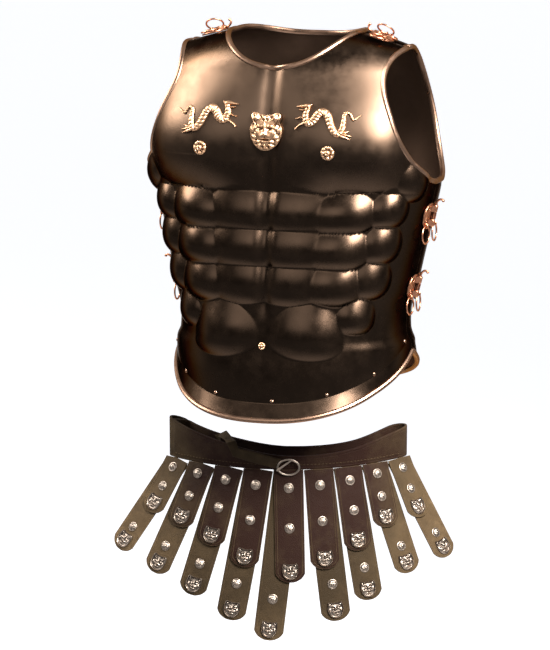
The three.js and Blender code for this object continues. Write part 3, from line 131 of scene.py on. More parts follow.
class CuirassShape(PropertyGroup):
    """Sizes of the two beaten plates"""

    chest_half_width: FloatProperty(
        name="Chest Half Width", description="Half of the width across the chest",
        default=0.206, min=0.1, unit="LENGTH")
    chest_half_depth: FloatProperty(
        name="Chest Half Depth", description="Half of the depth of the chest",
        default=0.140, min=0.05, unit="LENGTH")
    dome_level: FloatProperty(
        name="Dome Level", description="Height above the waist where the shoulders begin to close",
        default=0.250, unit="LENGTH")
    armpit_level: FloatProperty(
        name="Armpit Level", description="Height of the armpit above the waist",
        default=0.208, unit="LENGTH")
    neck_top_level: FloatProperty(
        name="Neck Level", description="Height of the corners of the neck above the waist",
        default=0.413, unit="LENGTH")
    neck_half_width: FloatProperty(
        name="Neck Half Width", description="Half of the width of the neck opening",
        default=0.089, unit="LENGTH")
    neck_drop: FloatProperty(
        name="Neck Drop", description="How far the front neckline dips below its corners",
        default=0.040, unit="LENGTH")
    back_neck_drop: FloatProperty(
        name="Back Neck Drop", description="How far the back neckline dips below its corners",
        default=0.009, unit="LENGTH")
    shoulder_half_width: FloatProperty(
        name="Shoulder Half Width", description="Half of the width of the ridge of the shoulders",
        default=0.162, unit="LENGTH")
    shoulder_fall: FloatProperty(
        name="Shoulder Fall", description="How steeply the shoulders fall to the arms",
        default=0.0457, unit="LENGTH")
    ridge_back_offset: FloatProperty(
        name="Ridge Offset", description="How far the ridge of the shoulders lies behind the middle",
        default=0.008, unit="LENGTH")
    armhole_lift: FloatProperty(
        name="Armhole Lift", description="Height of the foot of the armholes above the armpit",
        default=0.006, unit="LENGTH")
    armhole_radius: FloatProperty(
        name="Armhole Radius", description="Half of the height of the armholes",
        default=0.0895, unit="LENGTH")
    armhole_front_reach: FloatProperty(
        name="Armhole Front Reach", description="How far the armholes reach forward",
        default=0.088, unit="LENGTH")
    armhole_back_reach: FloatProperty(
        name="Armhole Back Reach", description="How far the armholes reach back",
        default=0.076, unit="LENGTH")
    armhole_back_offset: FloatProperty(
        name="Armhole Offset", description="How far the armholes lie behind the middle",
        default=0.014, unit="LENGTH")
    hem_front_drop: FloatProperty(
        name="Front Hem Drop", description="How far the hem falls below the waist in front",
        default=0.112, unit="LENGTH")
    hem_back_drop: FloatProperty(
        name="Back Hem Drop", description="How far the hem falls below the waist behind",
        default=0.096, unit="LENGTH")
    hem_side_drop: FloatProperty(
        name="Side Hem Drop", description="How far the hem falls below the waist at the sides",
        default=0.028, unit="LENGTH")
    flange_width: FloatProperty(
        name="Flange Width", description="Height of the flared flange along the hem",
        default=0.026, unit="LENGTH")
    flange_flare: FloatProperty(
        name="Flange Flare", description="How far the flange stands out at its edge",
        default=0.0125, unit="LENGTH")
    sheet_thickness: FloatProperty(
        name="Sheet", description="Thickness of the beaten sheet",
        default=0.0015, unit="LENGTH")
    plate_gap: FloatProperty(
        name="Plate Gap", description="Gap between the front and back plates along their seam",
        default=0.0005, unit="LENGTH")
    rim_radius: FloatProperty(
        name="Rim Radius", description="Radius of the rolled rims",
        default=0.0038, unit="LENGTH")
    pectoral_rise: FloatProperty(
        name="Pectoral Rise", description="How far the breast muscles stand out",
        default=0.025, unit="LENGTH")
    muscle_rise: FloatProperty(
        name="Muscle Rise", description="How far the belly muscles and ribs stand out",
        default=0.0125, unit="LENGTH")
    shoulder_blade_rise: FloatProperty(
        name="Blade Rise", description="How far the shoulder blades stand out",
        default=0.009, unit="LENGTH")
    groove_depth: FloatProperty(
        name="Groove Depth", description="Depth of the groove down the middle",
        default=0.005, unit="LENGTH")
    rivet_radius: FloatProperty(
        name="Rivet Radius", description="Radius of the rivet heads along the flange",
        default=0.003, unit="LENGTH")
    patina: FloatVectorProperty(
        name="Patina", description="Dark brown of the patinated bronze",
        subtype="COLOR", size=3, default=(0.038, 0.0245, 0.0165), min=0.0, max=1.0)
    # Painted light: a lighter brown laid over the upper chest for the light that falls there from above
    patina_painted_light: FloatVectorProperty(
        name="Patina Painted Light", description="Lighter brown where the patina is rubbed",
        subtype="COLOR", size=3, default=(0.066, 0.043, 0.029), min=0.0, max=1.0)
    rim_colour: FloatVectorProperty(
        name="Rim", description="Rubbed bronze of the rolled rims",
        subtype="COLOR", size=3, default=(0.15, 0.092, 0.062), min=0.0, max=1.0)


class FittingShape(PropertyGroup):
    """Sizes of the closures and the ornaments on the chest"""

    leaf_length: FloatProperty(
        name="Leaf Length", description="Length of a closure leaf along its pin",
        default=0.034, unit="LENGTH")
    leaf_reach: FloatProperty(
        name="Leaf Reach", description="How far a closure leaf reaches from its pin",
        default=0.020, unit="LENGTH")
    leaf_thickness: FloatProperty(
        name="Leaf Thickness", description="Thickness of a closure leaf",
        default=0.0022, unit="LENGTH")
    leaf_inset: FloatProperty(
        name="Leaf Inset", description="Gap between the pin and the near edge of a leaf",
        default=0.0045, unit="LENGTH")
    hinge_length: FloatProperty(
        name="Hinge Length", description="Length of the three knuckles together",
        default=0.030, unit="LENGTH")
    barrel_radius: FloatProperty(
        name="Barrel Radius", description="Outer radius of the knuckles",
        default=0.0034, unit="LENGTH")
    pin_radius: FloatProperty(
        name="Pin Radius", description="Radius of the closure pins",
        default=0.0016, unit="LENGTH")
    ring_radius: FloatProperty(
        name="Ring Radius", description="Radius of the wire rings",
        default=0.012, unit="LENGTH")
    ring_wire_radius: FloatProperty(
        name="Ring Wire", description="Radius of the wire of the rings",
        default=0.00125, unit="LENGTH")
    seat_clearance: FloatProperty(
        name="Seat Clearance", description="Gap left under seated fittings",
        default=0.00035, unit="LENGTH")
    lion_width: FloatProperty(
        name="Lion Width", description="Width of the lion mask",
        default=0.046, unit="LENGTH")
    lion_height: FloatProperty(
        name="Lion Height", description="Height of the lion mask",
        default=0.051, unit="LENGTH")
    lion_rise: FloatProperty(
        name="Lion Rise", description="How far the lion mask stands out",
        default=0.011, unit="LENGTH")
    lion_level: FloatProperty(
        name="Lion Level", description="Height of the lion mask above the waist",
        default=0.281, unit="LENGTH")
    dragon_length: FloatProperty(
        name="Dragon Length", description="Length of a sea-dragon",
        default=0.086, unit="LENGTH")
    dragon_height: FloatProperty(
        name="Dragon Height", description="Height of a sea-dragon",
        default=0.042, unit="LENGTH")
    dragon_rise: FloatProperty(
        name="Dragon Rise", description="How far a sea-dragon stands out",
        default=0.0045, unit="LENGTH")
    dragon_level: FloatProperty(
        name="Dragon Level", description="Height of the sea-dragons above the waist",
        default=0.299, unit="LENGTH")
    dragon_offset: FloatProperty(
        name="Dragon Offset", description="Distance of the sea-dragons from the middle",
        default=0.084, unit="LENGTH")
    rosette_radius: FloatProperty(
        name="Rosette Radius", description="Radius of the breast rosettes",
        default=0.0095, unit="LENGTH")
    gilt: FloatVectorProperty(
        name="Gilt", description="Pale pink gold of the ornaments",
        subtype="COLOR", size=3, default=(0.36, 0.215, 0.125), min=0.0, max=1.0)
    copper: FloatVectorProperty(
        name="Copper", description="Rose gold of the closures",
        subtype="COLOR", size=3, default=(0.34, 0.155, 0.09), min=0.0, max=1.0)


class BeltShape(PropertyGroup):
    """Sizes of the belt and its straps"""

    front_radius: FloatProperty(
        name="Front Radius", description="Radius that the front of the band follows",
        default=0.238, unit="LENGTH")
    half_width: FloatProperty(
        name="Half Width", description="Half of the width of the folded belt",
        default=0.176, unit="LENGTH")
    corner_radius: FloatProperty(
        name="Corner Radius", description="Radius of the folds at the two ends",
        default=0.015, unit="LENGTH")
    fold_depth: FloatProperty(
        name="Fold Depth", description="Depth of the arch of the front run",
        default=0.056, unit="LENGTH")
    bow: FloatProperty(
        name="Bow", description="How far the back run bows away from the front run",
        default=0.0187, unit="LENGTH")
    thickness: FloatProperty(
        name="Band Thickness", description="Thickness of the band",
        default=0.0036, unit="LENGTH")
    left_end_height: FloatProperty(
        name="Left End Height", description="Height of the band at the end to the wearer's right",
        default=0.060, unit="LENGTH")
    right_end_height: FloatProperty(
        name="Right End Height", description="Height of the band at the end to the wearer's left",
        default=0.046, unit="LENGTH")
    middle_height: FloatProperty(
        name="Middle Height", description="Height of the band in the middle",
        default=0.020, unit="LENGTH")
    strap_width: FloatProperty(
        name="Strap Width", description="Width of a strap",
        default=0.040, unit="LENGTH")
    strap_thickness: FloatProperty(
        name="Strap Thickness", description="Thickness of a strap",
        default=0.0022, unit="LENGTH")
    strap_pitch: FloatProperty(
        name="Strap Pitch", description="Distance from strap to strap along the band",
        default=0.0423, unit="LENGTH")
    long_length: FloatProperty(
        name="Long Strap", description="Length of the longest strap behind",
        default=0.238, unit="LENGTH")
    short_length: FloatProperty(
        name="Short Strap", description="Length of the longest strap in front",
        default=0.156, unit="LENGTH")
    stud_radius: FloatProperty(
        name="Stud Radius", description="Radius of a domed stud",
        default=0.0069, unit="LENGTH")
    mask_radius: FloatProperty(
        name="Mask Radius", description="Radius of a lion mount on a strap",
        default=0.012, unit="LENGTH")
    leather: FloatVectorProperty(
        name="Leather", description="Dark red-brown leather of the middle straps",
        subtype="COLOR", size=3, default=(0.0105, 0.0045, 0.0030), min=0.0, max=1.0)
    leather_end: FloatVectorProperty(
        name="End Leather", description="Olive-brown leather of the end straps and tips",
        subtype="COLOR", size=3, default=(0.031, 0.0205, 0.0105), min=0.0, max=1.0)
    pewter: FloatVectorProperty(
        name="Pewter", description="Tarnished pewter of the studs and mounts",
        subtype="COLOR", size=3, default=(0.20, 0.165, 0.135), min=0.0, max=1.0)


class StageShape(PropertyGroup):
    """The floor, the lamps and the camera"""

    camera_distance: FloatProperty(
        name="Camera Distance", description="Distance of the camera from the armour",
        default=5.0, unit="LENGTH")
    camera_height: FloatProperty(
        name="Camera Height", description="Height of the camera above the waist",
        default=0.84, unit="LENGTH")
    camera_turn: FloatProperty(
        name="Camera Turn", description="Turn of the camera to the wearer's left of the front",
        default=21 * DEGREE, subtype="ANGLE")
    picture_height: FloatProperty(
        name="Picture Height", description="Height of the picture at the armour",
        default=0.91, unit="LENGTH")
    floor_level: FloatProperty(
        name="Floor Level", description="Height of the floor, below the waist",
        default=-1.25, unit="LENGTH")
    floor_colour: FloatVectorProperty(
        name="Floor", description="Pale floor and background",
        subtype="COLOR", size=3, default=(0.94, 0.95, 0.98), min=0.0, max=1.0)


# Small helpers

def settings(name):
    """One group of sizes and colours"""
    return getattr(bpy.context.scene, "cuirass_" + name)


def smooth(t):
    """From 0 to 1 with soft ends"""
    c = np.clip(t, 0.0, 1.0)
    return c * c * (3 - 2 * c)


def power(value, exponent):
    """A power that keeps the sign"""
    return np.sign(value) * np.abs(value) ** exponent


def mix(a, b, t):
    return a + (b - a) * t


def bell(x, y, centre, spread):
    """A soft bump, 1 at its centre"""
    a = (x - centre[0]) / spread[0]
    b = (y - centre[1]) / spread[1]
    return np.exp(-a * a - b * b)


def bumps(x, y, forms):
    """Several soft bumps together, each its height, centre and spread"""
    return sum(height * bell(x, y, centre, spread) for height, centre, spread in forms)


def unit(vectors):
    """The same directions with a length of 1"""
    return vectors / np.linalg.norm(vectors, axis=-1, keepdims=True)


def halved(holds, low, high):
    """The last place between two limits where a test still holds"""
    for _ in range(SEARCH_ROUNDS):
        middle = (low + high) / 2
        held = holds(middle)
        low, high = np.where(held, middle, low), np.where(held, high, middle)
    return low


def through(places, values, at):
    """A smooth curve through values at places, read off at other places"""
    places = np.asarray(places, float)
    values = np.asarray(values, float)
    last = len(places) - 1
    p = np.clip(at, places[0], places[-1])
    k = np.clip(np.searchsorted(places, p, side="left") - 1, 0, last - 1)
    before = np.maximum(k - 1, 0)
    after = np.minimum(k + 2, last)
    span = places[k + 1] - places[k]
    t = (p - places[k]) / span
    slope_a = (values[k + 1] - values[before]) / (places[k + 1] - places[before])
    slope_b = (values[after] - values[k]) / (places[after] - places[k])
    t2 = t * t
    t3 = t2 * t
    return ((2 * t3 - 3 * t2 + 1) * values[k] + (t3 - 2 * t2 + t) * span * slope_a
            + (3 * t2 - 2 * t3) * values[k + 1] + (t3 - t2) * span * slope_b)


def catmull(points, count):
    """Evenly counted points on a smooth line through the given ones"""
    points = np.asarray(points, float)
    padded = np.vstack([2 * points[0] - points[1], points, 2 * points[-1] - points[-2]])
    out = []
    for t in np.linspace(0, len(points) - 1, count):
        k = min(int(t), len(points) - 2)
        f = t - k
        a, b, c, d = padded[k:k + 4]
        out.append(0.5 * (2 * b + (c - a) * f + (2 * a - 5 * b + 4 * c - d) * f * f
                          + (3 * b - a - 3 * c + d) * f ** 3))
    return np.array(out)


# Making meshes. A part is its points, its faces and the index of its material.

def grid_faces(rows, columns, wrap_rows=False, wrap_columns=False, flip=False):
    """Four-sided faces between the points of a grid"""
    i = np.arange(rows if wrap_rows else rows - 1)
    j = np.arange(columns if wrap_columns else columns - 1)
    a, b = np.meshgrid(i, j, indexing="ij")
    a, b = a.ravel(), b.ravel()
    a2, b2 = (a + 1) % rows, (b + 1) % columns
    corners = [a * columns + b, a * columns + b2, a2 * columns + b2, a2 * columns + b]
    return np.stack(corners[::-1] if flip else corners, axis=1)


def loft(rings, closed=False):
    """A body from rings of points, with flat ends unless it closes on itself"""
    rings = np.asarray(rings, float)
    rows, columns = rings.shape[:2]
    faces = grid_faces(rows, columns, closed, True).tolist()
    if not closed:
        faces.append(list(range(columns))[::-1])
        faces.append([(rows - 1) * columns + j for j in range(columns)])
    return rings.reshape(-1, 3), faces


def tube(path, radius, sides=12, closed=False):
    """A round bar along a path; radius may change along it"""
    path = np.asarray(path, float)
    radius = np.broadcast_to(radius, len(path))
    if closed:
        along = np.roll(path, -1, 0) - np.roll(path, 1, 0)
    else:
        along = np.gradient(path, axis=0)
    along /= np.maximum(np.linalg.norm(along, axis=1, keepdims=True), 1e-12)
    side = np.cross(along[0], (0.31, 0.52, 0.79))
    turn = np.linspace(0, 2 * math.pi, sides, endpoint=False)
    rings = []
    for point, wide, way in zip(path, radius, along):
        side = unit(side - way * side.dot(way))
        other = np.cross(way, side)
        rings.append(point + wide * (np.cos(turn)[:, None] * side + np.sin(turn)[:, None] * other))
    return loft(rings, closed)


def turned(profile, steps, lobes=0, lobe_depth=0.0, lobe_band=(0, 1)):
    """A body turned about z from rows of radius and height, with optional petals"""
    turn = np.linspace(0, 2 * math.pi, steps, endpoint=False)
    rings = []
    for radius, height in profile:
        petal = np.ones(steps)
        if lobes and lobe_band[0] < radius < lobe_band[1]:
            petal = 1 - lobe_depth * np.abs(np.sin(lobes * turn / 2)) ** 3
        rings.append(np.stack([radius * np.cos(turn), radius * np.sin(turn), height * petal], axis=1))
    return loft(rings)


def ball(centre, radii):
    """A round or flattened knob"""
    profile = [(math.sin(t), -math.cos(t)) for t in np.linspace(0.12, math.pi - 0.12, 9)]
    points, faces = turned(profile, 14)
    return points * np.asarray(radii) + np.asarray(centre), faces


def relief(outline, height, rings, foot):
    """A modelled face: a closed outline filled with a height over x and y"""
    outline = np.asarray(outline, float)
    rows = [np.column_stack([outline, np.full(len(outline), foot)])]
    for t in rings:
        xy = outline * t
        rows.append(np.column_stack([xy, height(xy[:, 0], xy[:, 1], t)]))
    return loft(rows)


def plaque(outlines, thickness, bevel):
    """A flat plate with holes and rounded edges, its back on z = 0"""
    curve = bpy.data.curves.new("outline", "CURVE")
    curve.dimensions = "2D"
    curve.fill_mode = "BOTH"
    curve.extrude = thickness / 2 - bevel
    curve.bevel_depth = bevel
    curve.bevel_resolution = 2
    for outline in outlines:
        spline = curve.splines.new("POLY")
        spline.points.add(len(outline) - 1)
        for point, (x, y) in zip(spline.points, outline):
            point.co = (x, y, 0, 1)
        spline.use_cyclic_u = True
    holder = bpy.data.objects.new("outline", curve)
    bpy.context.scene.collection.objects.link(holder)
    graph = bpy.context.evaluated_depsgraph_get()
    mesh = holder.evaluated_get(graph).to_mesh()
    points = np.array([v.co[:] for v in mesh.vertices]).reshape(-1, 3)
    faces = [list(polygon.vertices) for polygon in mesh.polygons]
    holder.evaluated_get(graph).to_mesh_clear()
    bpy.data.objects.remove(holder)
    bpy.data.curves.remove(curve)
    points[:, 2] += thickness / 2
    return points, faces


def mirrored(half):
    """A closed outline from its right half, which runs from the top to the foot"""
    return np.vstack([half, half[1:-1][::-1] * (-1, 1)])


def placed(part, matrix):
    """A part moved to its place"""
    points, faces = part
    m = np.array(matrix)
    return points @ m[:3, :3].T + m[:3, 3], faces


def all_placed(parts, matrix):
    """Parts moved to their place, all of the first material"""
    return [(placed(part, matrix), 0) for part in parts]


def axes_at(origin, x, y, z):
    """The place with an origin and three axes"""
    return Matrix.Translation(Vector(origin)) @ Matrix((x, y, z)).transposed().to_4x4()


def build(name, parts, materials, sharp=38):
    """One object from several parts, its faces turned outward and shaded smooth"""
    points, faces, slots, offset = [], [], [], 0
    for (part_points, part_faces), index in parts:
        points.append(np.asarray(part_points).reshape(-1, 3))
        if isinstance(part_faces, np.ndarray):
            faces.extend((part_faces + offset).tolist())
        else:
            faces.extend([[i + offset for i in face] for face in part_faces])
        slots.extend(index if isinstance(index, list) else [index] * len(part_faces))
        offset += len(points[-1])
    mesh = bpy.data.meshes.new(name)
    mesh.from_pydata(np.vstack(points).tolist(), [], faces)
    for material in materials:
        mesh.materials.append(material)
    mesh.polygons.foreach_set("material_index", slots)
    work = bmesh.new()
    work.from_mesh(mesh)
    bmesh.ops.remove_doubles(work, verts=work.verts, dist=1e-7)
    bmesh.ops.recalc_face_normals(work, faces=work.faces)
    work.to_mesh(mesh)
    work.free()
    mesh.shade_smooth()
    mesh.set_sharp_from_angle(angle=sharp * DEGREE)
    obj = bpy.data.objects.new(name, mesh)
    bpy.context.scene.collection.objects.link(obj)
    return obj


def dress(name, parts, materials, body, node, sharp=38):
    """Builds a piece that stands for a node and moves with its body"""
    obj = build(name, parts, materials, sharp)
    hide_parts(node)
    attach(obj, body)


# Materials

def new_material(name):
    """A material with its nodes and its main shader"""
    material = bpy.data.materials.new(name)
    material.use_nodes = True
    tree = material.node_tree
    return material, tree, tree.nodes["Principled BSDF"]


def noise(tree, scale, detail, roughness):
    """A cloudy pattern that stays with the object"""
    coords = tree.nodes.new("ShaderNodeTexCoord")
    node = tree.nodes.new("ShaderNodeTexNoise")
    node.inputs["Scale"].default_value = scale
    node.inputs["Detail"].default_value = detail
    node.inputs["Roughness"].default_value = roughness
    tree.links.new(coords.outputs["Object"], node.inputs["Vector"])
    return node.outputs["Fac"]


def position(tree):
    """The place on the object, as X, Y and Z"""
    coords = tree.nodes.new("ShaderNodeTexCoord")
    split = tree.nodes.new("ShaderNodeSeparateXYZ")
    tree.links.new(coords.outputs["Object"], split.inputs[0])
    return split.outputs


def ramp(tree, source, stops):
    """Colours by value"""
    node = tree.nodes.new("ShaderNodeValToRGB")
    elements = node.color_ramp.elements
    while len(elements) < len(stops):
        elements.new(0.5)
    for element, (place, colour) in zip(elements, stops):
        element.position = place
        element.color = (*colour, 1)
    tree.links.new(source, node.inputs["Fac"])
    return node.outputs["Color"]


def span(tree, source, low, high):
    """Spreads a noise over a range of values"""
    node = tree.nodes.new("ShaderNodeMapRange")
    node.inputs["From Min"].default_value = 0.3
    node.inputs["From Max"].default_value = 0.7
    node.inputs["To Min"].default_value = low
    node.inputs["To Max"].default_value = high
    tree.links.new(source, node.inputs["Value"])
    return node.outputs["Result"]


def bump(tree, shader, source, strength, distance):
    """Fine relief in the surface"""
    node = tree.nodes.new("ShaderNodeBump")
    node.inputs["Strength"].default_value = strength
    node.inputs["Distance"].default_value = distance
    tree.links.new(source, node.inputs["Height"])
    tree.links.new(node.outputs["Normal"], shader.inputs["Normal"])


def mixed(first, second, share):
    """A colour between two others"""
    return tuple(mix(a, b, share) for a, b in zip(first, second))


def scaled(colour, factor):
    """A lighter or darker colour"""
    return tuple(min(1.0, channel * factor) for channel in colour)


def range_of(tree, source, first, last):
    """From 0 to 1 as the source goes from the first value to the last"""
    node = tree.nodes.new("ShaderNodeMapRange")
    node.interpolation_type = "SMOOTHSTEP"
    node.inputs["From Min"].default_value = first
    node.inputs["From Max"].default_value = last
    tree.links.new(source, node.inputs["Value"])
    return node.outputs["Result"]


def arithmetic(tree, operation, *values):
    """One sum over sockets and numbers"""
    node = tree.nodes.new("ShaderNodeMath")
    node.operation = operation
    for socket, value in zip(node.inputs, values):
        if isinstance(value, float):
            socket.default_value = value
        else:
            tree.links.new(value, socket)
    return node.outputs[0]


def bronze_material():
    """Deep brown patina, lightened over the upper chest as painted light from above, and back to the plain
    patina near the neckline
    """
    shape = settings("shape")
    material, tree, shader = new_material("patinated_bronze")
    shader.inputs["Metallic"].default_value = 1.0
    shader.inputs["Specular Tint"].default_value = BRONZE_EDGE_TINT
    cloudy = noise(tree, 11.0, 6.0, 0.62)
    uneven = arithmetic(tree, "MULTIPLY_ADD", cloudy, 0.16, position(tree)["Z"])
    # The lighter band over the upper chest is painted light from above; it gives way to the plain patina
    # near the neckline.
    chest = range_of(tree, uneven, 0.29, 0.39)
    neckline = range_of(tree, uneven, 0.475, 0.435)
    wear_and_painted_light = arithmetic(tree, "MULTIPLY", chest, neckline)
    base = ramp(tree, wear_and_painted_light, ((0.0, tuple(shape.patina)), (1.0, tuple(shape.patina_painted_light))))
    tree.links.new(base, shader.inputs["Base Color"])
    fine = span(tree, noise(tree, 55.0, 7.0, 0.62), 0.21, 0.31)
    tree.links.new(arithmetic(tree, "MULTIPLY_ADD", wear_and_painted_light, 0.13, fine), shader.inputs["Roughness"])
    bump(tree, shader, noise(tree, 30.0, 2.0, 0.4), 0.10, 0.0012)
    return material


def metal_with_wear_and_painted_relief(name, colour, smoothest, roughest, scale, dark):
    """Metal with worn patches, lighter on the ridge tops as a painted highlight and deeper in the creases
    as painted shade
    """
    material, tree, shader = new_material(name)
    shader.inputs["Metallic"].default_value = 1.0
    shader.inputs["Specular Tint"].default_value = METAL_EDGE_TINT
    patches = noise(tree, scale, 5.0, 0.6)
    geometry = tree.nodes.new("ShaderNodeNewGeometry")
    # Pointiness paints light and shade into the colour: a painted highlight on the ridge tops, painted
    # shade in the creases.
    ridges = range_of(tree, geometry.outputs["Pointiness"], 0.44, 0.56)
    wear_and_painted_light = arithmetic(tree, "MULTIPLY", span(tree, patches, 0.0, 1.0), 0.35)
    patches_and_painted_relief_light = arithmetic(tree, "MULTIPLY_ADD", ridges, 0.75, wear_and_painted_light)
    base = ramp(tree, patches_and_painted_relief_light, (
        (0.12, scaled(colour, dark * 0.45)), (0.42, scaled(colour, 0.8)), (0.62, tuple(colour)),
        (0.95, scaled(colour, 1.3))))
    tree.links.new(base, shader.inputs["Base Color"])
    tree.links.new(span(tree, patches, roughest, smoothest), shader.inputs["Roughness"])
    bump(tree, shader, noise(tree, scale * 4, 3.0, 0.5), 0.25, 0.0004)
    return material


def leather_material(name, colour, outer):
    """Waxed leather, worn paler toward the ends of the belt and the tips, with grain and creases"""
    material, tree, shader = new_material(name)
    place = position(tree)
    aside = range_of(tree, arithmetic(tree, "ABSOLUTE", place["X"]), 0.08, 0.2)
    low = range_of(tree, place["Z"], -0.36, -0.46)
    worn = arithmetic(tree, "MAXIMUM", arithmetic(tree, "MULTIPLY", aside, 0.8),
                      arithmetic(tree, "MULTIPLY", low, 0.8))
    mottled = arithmetic(tree, "ADD", span(tree, noise(tree, 26.0, 6.0, 0.68), -0.3, 0.3), worn)
    base = ramp(tree, mottled, (
        (0.0, tuple(colour)), (0.35, mixed(colour, outer, 0.4)), (0.8, tuple(outer)),
        (1.0, scaled(outer, 1.5))))
    tree.links.new(base, shader.inputs["Base Color"])
    coords = tree.nodes.new("ShaderNodeTexCoord")
    grain = tree.nodes.new("ShaderNodeTexVoronoi")
    grain.feature = "DISTANCE_TO_EDGE"
    grain.inputs["Scale"].default_value = 520.0
    tree.links.new(coords.outputs["Object"], grain.inputs["Vector"])
    creases = noise(tree, 90.0, 8.0, 0.75)
    surface = arithmetic(tree, "MULTIPLY_ADD", grain.outputs["Distance"], 1.6, creases)
    bump(tree, shader, surface, 0.6, 0.0009)
    tree.links.new(span(tree, creases, 0.5, 0.75), shader.inputs["Roughness"])
    shader.inputs["Specular IOR Level"].default_value = 0.04
    return material


def finish(name):
    """The named finish, made once"""
    found = bpy.data.materials.get(name)
    if found:
        return found
    shape, fitting, belt = settings("shape"), settings("fitting"), settings("belt")
    # Each metal: colour, smoothest and roughest roughness, scale of its worn patches, and the factor for
    # its painted crease shade
    metals = {
        "rubbed_rim": (shape.rim_colour, 0.26, 0.42, 60.0, 0.5),
        # The inner face is lighter than the patina outside, a painted sheen, and held low as painted shade
        # for the inside of the neck
        "beaten_inside": (scaled(shape.rim_colour, 0.45), 0.45, 0.6, 18.0, 1.2),
        "rubbed_gilt": (fitting.gilt, 0.3, 0.5, 260.0, 0.55),
        "rose_copper": (fitting.copper, 0.24, 0.42, 200.0, 0.4),
        "tarnished_pewter": (belt.pewter, 0.3, 0.5, 320.0, 0.35),
    }
    leathers = {
        "waxed_leather": (belt.leather, belt.leather_end),
        "olive_leather": (scaled(belt.leather_end, 0.62), scaled(belt.leather_end, 1.5)),
        "burnished_edge": (belt.leather_end, scaled(belt.leather_end, 2.2)),
    }
    if name == "patinated_bronze":
        return bronze_material()
    if name in metals:
        return metal_with_wear_and_painted_relief(name, *metals[name])
    return leather_material(name, *leathers[name])


# The trunk

